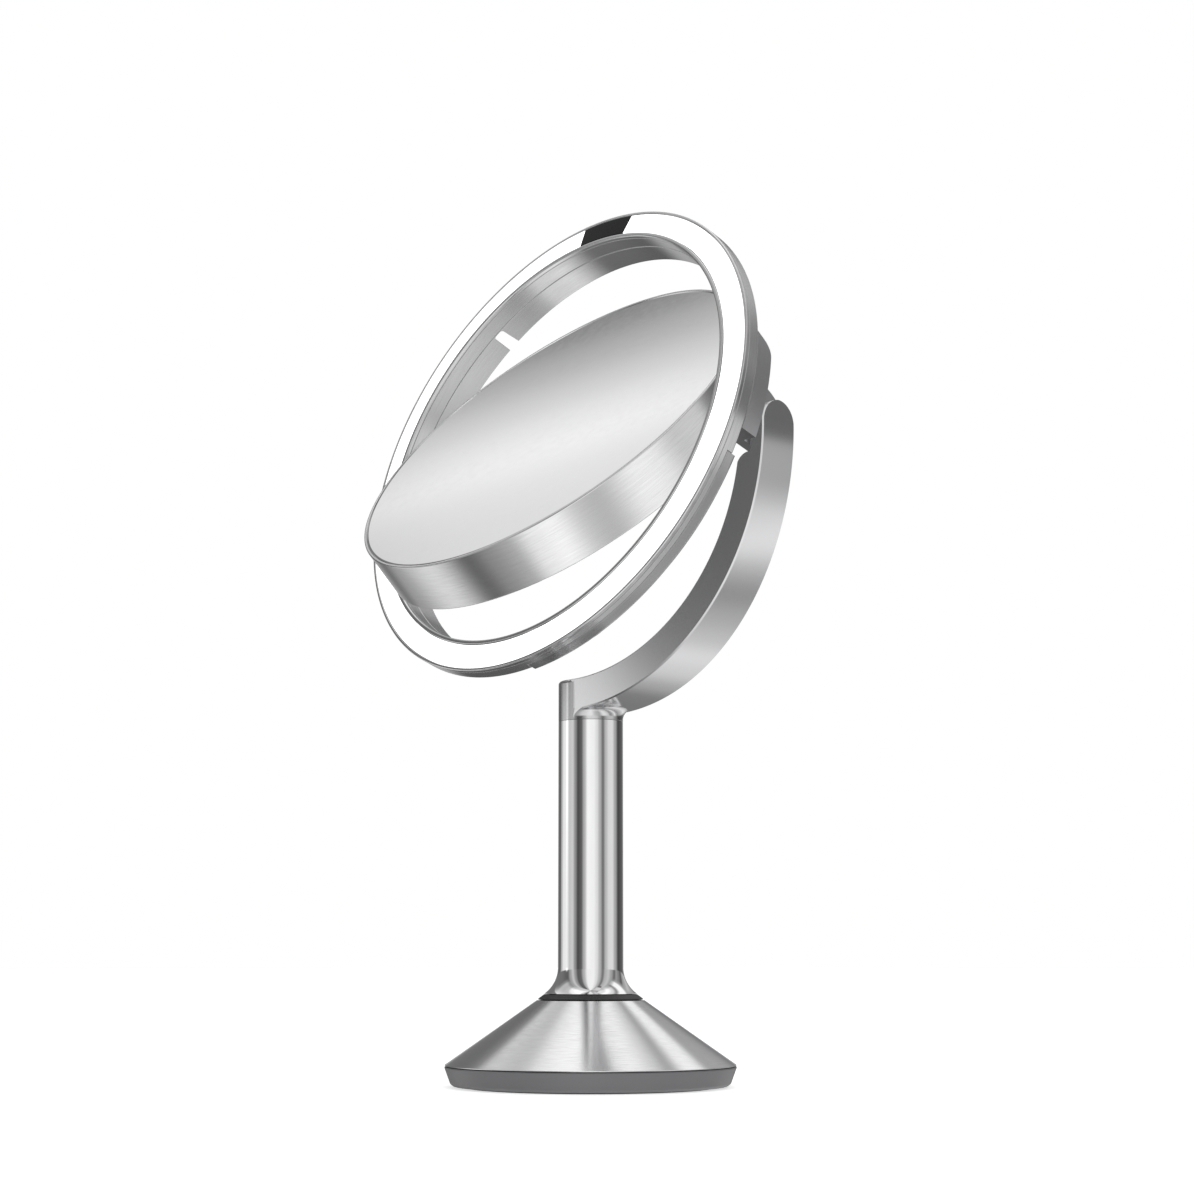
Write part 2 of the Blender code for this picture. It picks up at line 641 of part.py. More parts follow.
def make_usb_port(cover):
    """The charging socket: a small shell with a tongue inside."""
    face = pod_face_frame("port_frame", PORT_ANGLE, PORT_AT_R)
    port = block("usb_port", ZINC, (-0.0016, -0.0045, 0.0), (0.0016, 0.0045, 0.0040), face)
    cut(port, block("port_hollow", None, (-0.0012, -0.0041, -0.001), (0.0012, 0.0041, 0.0034),
                    face, cutter=True))
    join(port, block("port_tongue", None, (-0.0003, -0.0032, 0.0008), (0.0003, 0.0032, 0.0037),
                     face, cutter=True))
    cut(cover, block("port_hole", None, (-0.0019, -0.0048, -0.0060), (0.0019, 0.0048, 0.0030),
                     face, cutter=True))


def make_battery_and_board():
    pack = [(0.1061, 0.0197), (0.1150, 0.0197), (0.1146, 0.0188), (0.1069, 0.0132),
            (0.1061, 0.0132)]
    sector("battery_pack", pack, CELL, radians(-18.0), radians(-56.0))
    sector("control_board", ring_outline(0.1062, 0.1146, 0.0190, 0.0198), BOARD,
           radians(-58.0), radians(-75.0))


def lug_outline():
    """Side view of the hinge lug, in forward distance and height."""
    rear = arc((0.0, 0.0), LUG_R, radians(270), radians(150), 9)
    top = [(-0.0087, 0.0093), (-0.0067, 0.0118), (-0.0046, 0.0137), (-0.0020, 0.0151),
           (0.0043, 0.0170), (0.0110, 0.0187)]
    front_n = RING_BACK_N - GAP
    return [*rear, *top, (front_n, 0.0195), (front_n, -LUG_R)]


def make_hinge_bracket():
    """A foot behind the ring at three o'clock, and a lug beside the arm."""
    foot_inner = RING_INNER_R + SLEEVE_WALL + 0.0005
    foot_low = 0.0111
    foot_high = RING_BACK_N - GAP
    bottom = radians(-9.0)
    top = asin(0.0380 / RING_OUTER_R)
    foot = sector("hinge_bracket", ring_outline(foot_inner, RING_OUTER_R - 0.0003, foot_low,
                                                foot_high), SATIN, bottom, top)
    above = [(0.0105, 0.0262), (0.0113, 0.0282), (0.0120, 0.0300), (0.0131, 0.0316),
             (0.0148, 0.0330), (0.0168, 0.0342), (0.0189, 0.0353), (0.0215, 0.0372),
             (0.0215, 0.0500), (0.0105, 0.0500)]
    ramp = plate("bracket_ramp", None, above, 0.090, 0.130, cutter=True)
    lug = plate("bracket_lug", None, lug_outline(), LUG_INNER_X, LUG_OUTER_X, cutter=True)
    for item in (ramp, lug):
        # a plate's X, Y and Z become the ring's Z, Y and X
        item.parent = RING_FRAME
        item.matrix_local = Matrix(((0, 0, 1, 0), (0, 1, 0, 0), (1, 0, 0, 0), (0, 0, 0, 1)))
    cut(foot, ramp)
    cut(foot, block("bracket_trim", None, (0.090, -0.030, 0.005), (0.130, -0.0130, 0.025),
                    RING_FRAME, cutter=True))
    join(foot, lug)
    cut(foot, rod("lug_bore", None, AXLE_CLEAR_R, (0.100, 0, 0), (0.112, 0, 0), RING_FRAME,
                  cutter=True))
    cut(foot, rod("lug_counterbore", None, 0.0055, (0.100, 0, 0), (0.1055, 0, 0), RING_FRAME,
                  steps=24, cutter=True))
    cut(foot, rod("right_pin_hole", None, PIVOT_CLEAR_R, (0.100, 0, PIVOT_N),
                  (0.1120, 0, PIVOT_N), RING_FRAME, cutter=True))
    return foot


def make_bracket_screws(bracket, housing):
    for index, angle in enumerate((radians(-3.5), radians(12.0))):
        x, y = polar(0.1135, angle)
        name = f"bracket_screw_{index + 1}"
        screw = rod(name, ZINC, 0.0021, (x, y, 0.0216), (x, y, 0.0222), RING_FRAME)
        join(screw, rod(name + "_shank", None, 0.0011, (x, y, 0.0135), (x, y, 0.0219),
                        RING_FRAME, steps=12, cutter=True))
        bore = rod(name + "_bore", None, 0.0014, (x, y, 0.0130), (x, y, 0.0230), RING_FRAME,
                   steps=12, cutter=True)
        cut(bracket, bore)
        cut(housing, bore)


def make_left_pivot_block():
    holder = block("pivot_block", BLACK_PLASTIC, (-0.1115, -0.0060, 0.0140),
                   (-0.1053, 0.0060, RING_BACK_N - GAP), RING_FRAME, bevel=0.0008)
    cut(holder, rod("left_pin_bore", None, PIVOT_CLEAR_R, (-0.115, 0, PIVOT_N),
                    (-0.104, 0, PIVOT_N), RING_FRAME, cutter=True))


# ------------------------------------------------------------------- mirror
def make_mirror_frame():
    edge = 0.0003
    outline = [(DISC_R - DISC_WALL, DISC_HALF), (DISC_R - edge, DISC_HALF),
               (DISC_R, DISC_HALF - edge), (DISC_R, edge - DISC_HALF),
               (DISC_R - edge, -DISC_HALF), (DISC_R - DISC_WALL, -DISC_HALF)]
    return turned("mirror_frame", outline, BRUSHED, DISC_FRAME, WIDE_STEPS)


def dish_arc(z_rim, count=4):
    """Points from the axis to the rim of the magnifying curve."""
    points = []
    for index in range(count + 1):
        radius = GLASS_R * index / count
        points.append((radius, z_rim + DISH_SAG * (1 - (radius / GLASS_R) ** 2)))
    return points


def make_glasses():
    face = DISC_HALF - GLASS_RECESS
    front = [(0.0, face), (GLASS_R - 0.0003, face), (GLASS_R, face - 0.0003),
             (GLASS_R, face - GLASS_THICKNESS), (0.0, face - GLASS_THICKNESS)]
    turned("front_mirror_glass", front, MIRROR, DISC_FRAME, WIDE_STEPS)
    back = dish_arc(GLASS_THICKNESS - face) + list(reversed(dish_arc(-face)))
    turned("magnifying_mirror_glass", back, MIRROR, DISC_FRAME, WIDE_STEPS)


def make_carrier():
    """The plastic plate between the glasses, with a wall for the pins."""
    top = 0.0082
    wall_low = -0.0078
    outline = [(0.0, top), (0.0998, top), (0.0998, wall_low), (0.0962, wall_low),
               (0.0962, top - 0.0026), (0.0, top - 0.0026)]
    carrier = turned("mirror_carrier", outline, BLACK_PLASTIC, DISC_FRAME, WIDE_STEPS)
    turned("front_glass_tape", ring_outline(0.0600, 0.0950, top + 0.0002, top + 0.0007), FOAM,
           DISC_FRAME)
    turned("rear_glass_tape", ring_outline(0.0966, 0.0994, wall_low - 0.0007,
                                           wall_low - 0.0002), FOAM, DISC_FRAME)
    return carrier


def make_pivots(frame_band, carrier):
    """A headed pin and a nylon washer at each side of the mirror."""
    for side, name in ((1.0, "right"), (-1.0, "left")):
        pin = rod(f"pivot_pin_{name}", ZINC, 0.0034, (side * 0.0938, 0, 0),
                  (side * 0.0958, 0, 0), DISC_FRAME)
        join(pin, rod(f"pin_shank_{name}", None, PIVOT_PIN_R, (side * 0.0945, 0, 0),
                      (side * 0.1108, 0, 0), DISC_FRAME, cutter=True))
        bore = rod(f"pin_bore_{name}", None, PIVOT_CLEAR_R, (side * 0.0940, 0, 0),
                   (side * 0.1040, 0, 0), DISC_FRAME, cutter=True)
        cut(frame_band, bore)
        cut(carrier, bore)
        low, high = sorted((side * 0.1019, side * 0.1030))
        washer_on_x(f"pivot_washer_{name}", OPAL, PIVOT_CLEAR_R, 0.0040, low, high, 0.0,
                    DISC_FRAME)


# ----------------------------------------------------------------- assembly
def main():
    make_cone_and_hub()
    make_stem()
    make_tie_rod()
    make_base_screws(make_plinth(), make_weight())
    make_arm()
    make_tilt_hinge()

    housing = make_ring_housing()
    make_bezels()
    make_light_band()
    make_led_board()
    make_rear_sleeve()
    cover = make_battery_cover()
    make_cover_screws(cover, housing)
    make_power_button(cover)
    make_usb_port(cover)
    make_battery_and_board()
    make_bracket_screws(make_hinge_bracket(), housing)
    make_left_pivot_block()

    make_glasses()
    make_pivots(make_mirror_frame(), make_carrier())


main()
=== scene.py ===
"""Finished look of the table-top lighted vanity mirror.

Metres, +Z up, in the CAD frame.  Visible pieces are rebuilt here as finely
faceted, round-edged shells on the CAD's own dimensions, and each rides on its
CAD body.  Small hardware keeps its CAD node and gets a finished material.
"""
from math import asin, atan2, cos, pi, radians, sin, sqrt, tan

import bmesh
import bpy
from mathutils import Matrix, Vector


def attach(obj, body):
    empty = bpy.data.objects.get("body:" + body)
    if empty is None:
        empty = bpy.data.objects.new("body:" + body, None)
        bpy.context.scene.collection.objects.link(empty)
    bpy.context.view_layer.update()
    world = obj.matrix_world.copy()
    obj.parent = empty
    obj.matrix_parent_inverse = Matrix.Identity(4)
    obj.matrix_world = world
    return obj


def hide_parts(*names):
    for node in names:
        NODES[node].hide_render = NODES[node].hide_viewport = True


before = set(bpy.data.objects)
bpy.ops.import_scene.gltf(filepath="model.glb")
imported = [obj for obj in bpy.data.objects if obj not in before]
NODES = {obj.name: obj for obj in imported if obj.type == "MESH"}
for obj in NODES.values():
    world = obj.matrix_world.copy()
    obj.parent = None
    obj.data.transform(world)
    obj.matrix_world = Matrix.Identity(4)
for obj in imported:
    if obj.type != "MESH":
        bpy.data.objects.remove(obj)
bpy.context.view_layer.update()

# ---------------------------------------------------------------- dimensions
GAP = 0.0003                # between neighbouring pieces
THROUGH = (0.095, 0.115)    # how far from the ring's axis a cut in its inner wall runs

CONE_R = 0.0658
PLINTH_TOP = 0.0093
CONE_TOP_R = 0.0243
CONE_TOP = 0.03835
GASKET_TOP_R = 0.0210
GASKET_TOP = 0.0410
STEM_R = 0.01474
STEM_TOP = 0.1636
TILT_AXIS_Z = 0.2847
ARM_CENTRE_Z = 0.2853
ARM_INNER_R = 0.1029
ARM_OUTER_R = 0.1171
ARM_TIP_HALF_WIDTH = 0.01015
ARM_ROOT_HALF_WIDTH = 0.01437
ARM_TIP_FACE_X = 0.1096
ARM_FILLET_R = 0.0052
LUG_INNER_X = 0.1033
LUG_OUTER_X = 0.1086
LUG_R = 0.0120
ROD_HOLE_R = 0.0033
AXLE_HOLE_R = 0.00315

TILT_ANGLE = radians(19.2)
RING_OUTER_R = 0.1180
RING_INNER_R = 0.1038
RING_WALL = 0.0012
RING_FRONT_N = 0.02824
RING_BACK_N = 0.02024
INNER_FRONT_N = 0.02985
SLEEVE_WALL = 0.0010
SLEEVE_BACK_N = 0.0080
BEZEL_DEPTH = 0.0020
INNER_BEZEL_WIDTH = 0.0019
SENSOR_HALF_ANGLE = radians(7.9)
NOTCH_ANGLE = radians(134.3)
NOTCH_FRONT_N = 0.0196
POD_START = radians(-12.5)
POD_END = radians(-78.6)
POD_FRONT_N = 0.0234
POD_SHOULDER_N = 0.0181
POD_BACK_N = 0.0109
POD_CREST_R = 0.1070        # where the flat back of the pod turns into its slope
POD_SLOPE_INSET = 0.0010
BUTTON_ANGLE = radians(-62.0)
PORT_ANGLE = radians(-70.5)
BUTTON_AT_R = 0.1118

FLIP_ANGLE = radians(24.2)
PIVOT_N = 0.0190
DISC_R = 0.1016
DISC_HALF = 0.0123
DISC_WALL = 0.0013
GLASS_R = 0.1000
GLASS_THICKNESS = 0.0030
GLASS_RECESS = 0.0002
DISH_SAG = 0.0045

WORLD = Matrix.Identity(4)
RING = Matrix.Translation((0, 0, TILT_AXIS_Z)) @ Matrix.Rotation(pi / 2 - TILT_ANGLE, 4, 'X')
DISC = RING @ Matrix.Translation((0, 0, PIVOT_N)) @ Matrix.Rotation(-FLIP_ANGLE, 4, 'X')
# makes a plate's X, Y and Z the Z, Y and X of the frame that it goes before
SIDEWAYS = Matrix(((0, 0, 1, 0), (0, 1, 0, 0), (1, 0, 0, 0), (0, 0, 0, 1)))


# ---------------------------------------------------------------- materials
class Graph:
    """A material's or world's nodes, with short calls to add and link them."""

    def __init__(self, tree):
        self.tree = tree

    def add(self, kind, inputs=None, **settings):
        node = self.tree.nodes.new(kind)
        for key, value in settings.items():
            setattr(node, key, value)
        for key, value in (inputs or {}).items():
            self.put(node.inputs[key], value)
        return node

    def put(self, socket, value):
        if isinstance(value, bpy.types.NodeSocket):
            self.tree.links.new(value, socket)
        else:
            socket.default_value = value

    def math(self, operation, *values):
        node = self.add('ShaderNodeMath', operation=operation)
        for socket, value in zip(node.inputs, values):
            self.put(socket, value)
        return node.outputs[0]

    def vector(self, operation, *values):
        node = self.add('ShaderNodeVectorMath', operation=operation)
        for socket, value in zip(node.inputs, values):
            self.put(socket, value)
        return node.outputs['Value' if operation in ('DOT_PRODUCT', 'LENGTH') else 'Vector']

    def split(self, vector):
        return self.add('ShaderNodeSeparateXYZ', {0: vector}).outputs

    def join(self, x, y, z):
        return self.add('ShaderNodeCombineXYZ', {0: x, 1: y, 2: z}).outputs[0]

    def spread(self, value, low, high, to_low, to_high):
        inputs = {'Value': value, 'From Min': low, 'From Max': high, 'To Min': to_low,
                  'To Max': to_high}
        return self.add('ShaderNodeMapRange', inputs, clamp=True).outputs[0]

    def noise(self, vector, scale=1.0, detail=2.0, w=None, rough=0.5):
        inputs = {'Vector': vector, 'Scale': scale, 'Detail': detail, 'Roughness': rough}
        if w is not None:
            inputs['W'] = w
        dimensions = '3D' if w is None else '4D'
        node = self.add('ShaderNodeTexNoise', inputs, noise_dimensions=dimensions)
        return node.outputs[0]

    def ramp(self, value, stops):
        """A grey level that eases from stop to stop of (position, level)."""
        node = self.add('ShaderNodeValToRGB', {0: value})
        ramp = node.color_ramp
        ramp.interpolation = 'EASE'
        while len(ramp.elements) < len(stops):
            ramp.elements.new(0.5)
        for element, (position, level) in zip(ramp.elements, stops):
            element.position = position
            element.color = (level, level, level, 1.0)
        return node.outputs[0]

    def mix(self, amount, first, second):
        inputs = {0: amount, 6: first, 7: second}
        return self.add('ShaderNodeMix', inputs, data_type='RGBA').outputs[2]

    def tint(self, value, dark, light):
        return self.mix(value, (*dark, 1.0), (*light, 1.0))


def shader_material(name, **constants):
    """A new material, its graph and its Principled shader."""
    material = bpy.data.materials.new(name)
    material.use_nodes = True
    shader = material.node_tree.nodes["Principled BSDF"]
    for key, value in constants.items():
        shader.inputs[key.replace('_', ' ')].default_value = value
    return material, Graph(material.node_tree), shader


def brushed_metal(name, dark, light, roughness, anisotropy):
    """Metal brushed along circles about the object's Z axis."""
    material, graph, shader = shader_material(name, Metallic=1.0, Anisotropic=anisotropy,
                                              Anisotropic_Rotation=0.25)
    place = graph.add('ShaderNodeTexCoord').outputs['Object']
    x, y, height = graph.split(place)
    flat = graph.join(x, y, 0.0)
    direction = graph.vector('NORMALIZE', flat)
    radius = graph.vector('LENGTH', flat)
    along = 9.0     # how fast a brush line changes along its own length

    def lines(frequency):
        dx, dy, _ = graph.split(graph.vector('MULTIPLY', direction, (along, along, along)))
        tall = graph.math('MULTIPLY', height, frequency)
        wide = graph.math('MULTIPLY', radius, frequency)
        return graph.noise(graph.join(dx, dy, tall), 1.0, 2.0, wide, 0.6)

    fine = lines(4200.0)
    coarse = lines(1500.0)
    both = graph.math('ADD', graph.math('MULTIPLY', fine, 0.65),
                      graph.math('MULTIPLY', coarse, 0.35))
    cloud = graph.noise(place, 22.0, 2.0)
    mottle = graph.math('ADD', both, graph.math('MULTIPLY', cloud, 0.25))
    tone = graph.spread(mottle, 0.30, 0.95, 0.0, 1.0)
    graph.put(shader.inputs['Base Color'], graph.tint(tone, dark, light))
    graph.put(shader.inputs['Roughness'],
              graph.spread(both, 0.30, 0.70, roughness * 1.25, roughness * 0.8))
    normal = graph.add('ShaderNodeBump', {'Strength': 0.12, 'Distance': 0.00004, 'Height': both})
    graph.put(shader.inputs['Normal'], normal.outputs[0])
    tangent = graph.vector('CROSS_PRODUCT', (0.0, 0.0, 1.0), place)
    to_world = graph.add('ShaderNodeVectorTransform', {0: tangent}, vector_type='VECTOR',
                         convert_from='OBJECT', convert_to='WORLD')
    graph.put(shader.inputs['Tangent'], graph.vector('NORMALIZE', to_world.outputs[0]))
    return material


def polished_metal(name, dark, light, roughness, ripple=0.05):
    """Bright metal with faint buffing marks and a slight waviness."""
    material, graph, shader = shader_material(name, Metallic=1.0)
    place = graph.add('ShaderNodeTexCoord').outputs['Object']
    stretched = graph.vector('MULTIPLY', place, (1.0, 1.0, 0.25))
    buff = graph.noise(stretched, 260.0, 3.0)
    wave = graph.noise(stretched, 38.0, 1.0)
    graph.put(shader.inputs['Base Color'], graph.tint(buff, dark, light))
    graph.put(shader.inputs['Roughness'],
              graph.spread(buff, 0.3, 0.7, roughness * 0.7, roughness * 1.3))
    normal = graph.add('ShaderNodeBump', {'Strength': ripple, 'Distance': 0.002, 'Height': wave})
    graph.put(shader.inputs['Normal'], normal.outputs[0])
    return material


def moulded(name, dark, light, roughness, grain=1400.0, bump=0.15, metallic=0.0, gloss=0.5):
    """Plastic, rubber or satin metal with a fine texture."""
    material, graph, shader = shader_material(name, Metallic=metallic,
                                              Specular_IOR_Level=gloss)
    place = graph.add('ShaderNodeTexCoord').outputs['Object']
    texture = graph.noise(place, grain, 3.0)
    cloud = graph.noise(place, 30.0, 2.0)
    tone = graph.math('ADD', graph.math('MULTIPLY', texture, 0.5),
                      graph.math('MULTIPLY', cloud, 0.5))
    graph.put(shader.inputs['Base Color'], graph.tint(tone, dark, light))
    graph.put(shader.inputs['Roughness'],
              graph.spread(texture, 0.3, 0.7, roughness * 0.85, roughness * 1.15))
    normal = graph.add('ShaderNodeBump', {'Strength': bump, 'Distance': 0.0001, 'Height': texture})
    graph.put(shader.inputs['Normal'], normal.outputs[0])
    return material


def lit_opal(name, strength):
    """The light band: an even glow with a faint falling-off at its edges."""
    material, graph, shader = shader_material(name, Roughness=0.3)
    shader.inputs['Emission Strength'].default_value = strength
    place = graph.add('ShaderNodeTexCoord').outputs['Object']
    x, y, _ = graph.split(place)
    radius = graph.vector('LENGTH', graph.join(x, y, 0.0))
    middle = (RING_INNER_R + RING_OUTER_R) / 2
    off = graph.math('ABSOLUTE', graph.math('SUBTRACT', radius, middle))
    half_width = 0.0060
    edge = graph.spread(off, half_width - 0.0008, half_width, 0.0, 1.0)
    cloud = graph.math('MULTIPLY', graph.noise(place, 60.0, 1.0), 0.03)
    glow = graph.math('SUBTRACT', graph.math('SUBTRACT', 1.0, graph.math('MULTIPLY', edge, 0.10)),
                      cloud)
    graph.put(shader.inputs['Emission Color'], graph.tint(glow, (0, 0, 0), (1.0, 1.0, 1.0)))
    graph.put(shader.inputs['Base Color'], graph.tint(glow, (0.5, 0.5, 0.5), (0.9, 0.9, 0.9)))
    return material


STEEL = brushed_metal("brushed_steel", (0.68, 0.68, 0.685), (0.86, 0.86, 0.865), 0.16, 0.6)
RING_STEEL = brushed_metal("brushed_ring_steel", (0.60, 0.60, 0.605), (0.76, 0.76, 0.765), 0.18,
                           0.5)
# a darker copy of the ring's brushed steel for the pod's cover: painted shade on its sloping back
SHADED_POD_STEEL = brushed_metal("brushed_pod_steel_painted_shade", (0.40, 0.40, 0.405), (0.54, 0.54, 0.545), 0.20,
                          0.5)
DISC_STEEL = brushed_metal("brushed_disc_steel", (0.66, 0.66, 0.665), (0.82, 0.82, 0.825), 0.16,
                           0.5)
ARM_METAL = moulded("satin_arm_metal", (0.60, 0.60, 0.605), (0.66, 0.66, 0.67), 0.16,
                    grain=2600.0, bump=0.012, metallic=1.0)
BRACKET_METAL = moulded("satin_bracket_metal", (0.42, 0.42, 0.43), (0.60, 0.60, 0.61), 0.34,
                        grain=1600.0, bump=0.08, metallic=1.0)
POLISHED = polished_metal("polished_steel", (0.83, 0.83, 0.835), (0.90, 0.90, 0.905), 0.035)
BEZEL = polished_metal("polished_bezel", (0.66, 0.66, 0.665), (0.78, 0.78, 0.785), 0.14,
                       ripple=0.02)
GLASS = polished_metal("silvered_glass", (0.90, 0.90, 0.90), (0.925, 0.925, 0.925), 0.05,
                       ripple=0.0)
ZINC = moulded("zinc_plate", (0.45, 0.45, 0.47), (0.62, 0.62, 0.63), 0.30, grain=2200.0,
               bump=0.08, metallic=1.0)
PLINTH = moulded("plinth_grey", (0.125, 0.125, 0.130), (0.165, 0.165, 0.170), 0.42, grain=1800.0,
                 bump=0.08)
GASKET = moulded("gasket_rubber", (0.012, 0.012, 0.013), (0.026, 0.026, 0.027), 0.45,
                 grain=1600.0)
PAD = moulded("foot_rubber", (0.015, 0.015, 0.016), (0.035, 0.035, 0.036), 0.8, grain=900.0,
              bump=0.4)
BLACK = moulded("black_plastic", (0.010, 0.010, 0.011), (0.022, 0.022, 0.023), 0.38)
SENSOR = moulded("sensor_window_black", (0.003, 0.003, 0.004), (0.006, 0.006, 0.007), 0.24,
                 grain=60.0, bump=0.0, gloss=0.12)
OPAL = lit_opal("lit_opal", 1.05)
NYLON = moulded("natural_nylon", (0.62, 0.61, 0.57), (0.74, 0.73, 0.69), 0.45)
IRON = moulded("cast_iron", (0.03, 0.03, 0.03), (0.07, 0.07, 0.07), 0.75, grain=500.0,
               bump=0.5, metallic=0.6)
BOARD = moulded("solder_mask", (0.01, 0.07, 0.03), (0.02, 0.11, 0.05), 0.35, grain=500.0,
                bump=0.2)
CELL = moulded("cell_sleeve", (0.03, 0.07, 0.22), (0.05, 0.10, 0.30), 0.35, grain=300.0, bump=0.1)
FOAM = moulded("foam_tape", (0.012, 0.012, 0.012), (0.03, 0.03, 0.03), 0.9, grain=2600.0,
               bump=0.6)


# ------------------------------------------------------------------ shapes
def fillet(outline, radius, count=4):
    """Round the corners of a closed outline.  Corners on the axis stay."""
    result = []
    total = len(outline)
    for index, corner in enumerate(outline):
        amount = radius[index] if isinstance(radius, (list, tuple)) else radius
        here = Vector(corner)
        if amount == 0.0 or corner[0] == 0.0:
            result.append(tuple(here))
            continue
        before = Vector(outline[index - 1]) - here
        after = Vector(outline[(index + 1) % total]) - here
        half = before.angle(after) / 2
        reach = min(amount / tan(half), before.length * 0.48, after.length * 0.48)
        before.normalize()
        after.normalize()
        actual = reach * tan(half)
        centre = here + (before + after).normalized() * (actual / sin(half))
        first = here + before * reach - centre
        last = here + after * reach - centre
        start = atan2(first.y, first.x)
        sweep = (atan2(last.y, last.x) - start + pi) % (2 * pi) - pi
        for step in range(count + 1):
            angle = start + sweep * step / count
            result.append((centre.x + actual * cos(angle), centre.y + actual * sin(angle)))
    return result


def rounded(outline, radius, count):
    """Round every corner of an outline, also where X is zero."""
    shifted = [(x + 1.0, y) for x, y in outline]
    return [(x - 1.0, y) for x, y in fillet(shifted, radius, count)]


def on_circle(radius, angle):
    return radius * cos(angle), radius * sin(angle)


def arc(centre, radius, start, end, count):
    """Points along part of a circle, both ends included."""
    angles = [start + (end - start) * index / count for index in range(count + 1)]
    return [(centre[0] + radius * cos(angle), centre[1] + radius * sin(angle)) for angle in angles]


def smooth(points, count):
    """More points along a smooth curve through the given ones."""
    result = []
    ends = [points[0], *points, points[-1]]
    for before, start, end, after in zip(ends, ends[1:], ends[2:], ends[3:]):
        for step in range(count):
            t = step / count
            spot = []
            for p0, p1, p2, p3 in zip(before, start, end, after):
                spot.append(p1 + 0.5 * t * (p2 - p0 + t * (2 * p0 - 5 * p1 + 4 * p2 - p3
                                                           + t * (3 * (p1 - p2) + p3 - p0))))
            result.append(tuple(spot))
    return [*result, tuple(points[-1])]


def ring_outline(inner, outer, low, high):
    return [(inner, high), (outer, high), (outer, low), (inner, low)]


def finish_mesh(shape, name):
    bmesh.ops.recalc_face_normals(shape, faces=shape.faces)
    mesh = bpy.data.meshes.new(name)
    shape.to_mesh(mesh)
    shape.free()
    return mesh


def stand_in(mesh, name, place):
    """A new object in the scene, at a place in the row frame."""
    item = bpy.data.objects.new(name, mesh)
    bpy.context.scene.collection.objects.link(item)
    item.matrix_world = place
    return item


def turned(name, outline, place=WORLD, steps=192, start=None, end=None):
    """Turn a closed outline of (radius, height) about Z, whole or in part."""
    shape = bmesh.new()
    whole = start is None
    if whole:
        angles = [2 * pi * index / steps for index in range(steps)]
    else:
        count = max(2, round(steps * abs(end - start) / (2 * pi)))
        angles = [start + (end - start) * index / count for index in range(count + 1)]
    columns = []
    poles = {}
    for angle in angles:
        column = []
        for number, (radius, height) in enumerate(outline):
            if radius == 0.0:
                if number not in poles:
                    poles[number] = shape.verts.new((0.0, 0.0, height))
                column.append(poles[number])
            else:
                spot = (radius * cos(angle), radius * sin(angle), height)
                column.append(shape.verts.new(spot))
        columns.append(column)
    pairs = list(zip(columns, columns[1:]))
    if whole:
        pairs.append((columns[-1], columns[0]))
    for left, right in pairs:
        for number in range(len(outline)):
            other = (number + 1) % len(outline)
            corners = []
            for vertex in (left[number], right[number], right[other], left[other]):
                if vertex not in corners:
                    corners.append(vertex)
            if len(corners) > 2:
                shape.faces.new(corners)
    if not whole:
        shape.faces.new(columns[0])
        shape.faces.new(reversed(columns[-1]))
    return stand_in(finish_mesh(shape, name), name, place)


def plate(name, outline, low, high, place=WORLD):
    """A flat outline in X and Y, made solid from one height to another."""
    shape = bmesh.new()
    lower = [shape.verts.new((x, y, low)) for x, y in outline]
    upper = [shape.verts.new((x, y, high)) for x, y in outline]
    shape.faces.new(lower)
    shape.faces.new(reversed(upper))
    for index in range(len(outline)):
        other = (index + 1) % len(outline)
        shape.faces.new((lower[index], upper[index], upper[other], lower[other]))
    return stand_in(finish_mesh(shape, name), name, place)


def box(name, low, high, place=WORLD):
    return plate(name, [(low[0], low[1]), (high[0], low[1]), (high[0], high[1]),
                        (low[0], high[1])], low[2], high[2], place)


def rod(name, radius, start, end, place=WORLD, steps=64):
    """A round bar from one point to another."""
    start = Vector(start)
    end = Vector(end)
    turn = (end - start).to_track_quat('Z', 'Y').to_matrix().to_4x4()
    middle = Matrix.Translation((start + end) / 2)
    shape = bmesh.new()
    bmesh.ops.create_cone(shape, cap_ends=True, segments=steps, radius1=radius, radius2=radius,
                          depth=(end - start).length, matrix=middle @ turn)
    return stand_in(finish_mesh(shape, name), name, place)


def bake(item):
    """Apply an object's modifiers to its mesh."""
    bpy.context.view_layer.update()
    evaluated = item.evaluated_get(bpy.context.evaluated_depsgraph_get())
    old = item.data
    mesh = bpy.data.meshes.new_from_object(evaluated)
    item.modifiers.clear()
    item.data = mesh
    bpy.data.meshes.remove(old)


def carve(item, other, operation='DIFFERENCE'):
    """Cut, join or trim a shape with another, which is used up."""
    boolean = item.modifiers.new("carve", 'BOOLEAN')
    boolean.operation = operation
    boolean.solver = 'EXACT'
    boolean.object = other
    bake(item)
    bpy.data.objects.remove(other)


def soften(item, width, segments, angle=35):
    """Round the edges where faces meet at more than the angle in degrees."""
    bevel = item.modifiers.new("soften", 'BEVEL')
    bevel.width = width
    bevel.segments = segments
    bevel.limit_method = 'ANGLE'
    bevel.angle_limit = radians(angle)
    bevel.use_clamp_overlap = True
    bake(item)


def finished(item, body, material, node, sharp=32):
    """Shade a piece, dress it, and let it stand for its CAD node.

    Only the stand is seen in reflections.  The moving pieces mirror a studio
    and not one another.
    """
    item.visible_glossy = body == "stand"
    item.data.shade_smooth()
    item.data.set_sharp_from_angle(angle=radians(sharp))
    weighted = item.modifiers.new("weighted", 'WEIGHTED_NORMAL')
    weighted.keep_sharp = True
    bake(item)
    item.data.materials.clear()
    item.data.materials.append(material)
    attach(item, body)
    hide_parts(node)


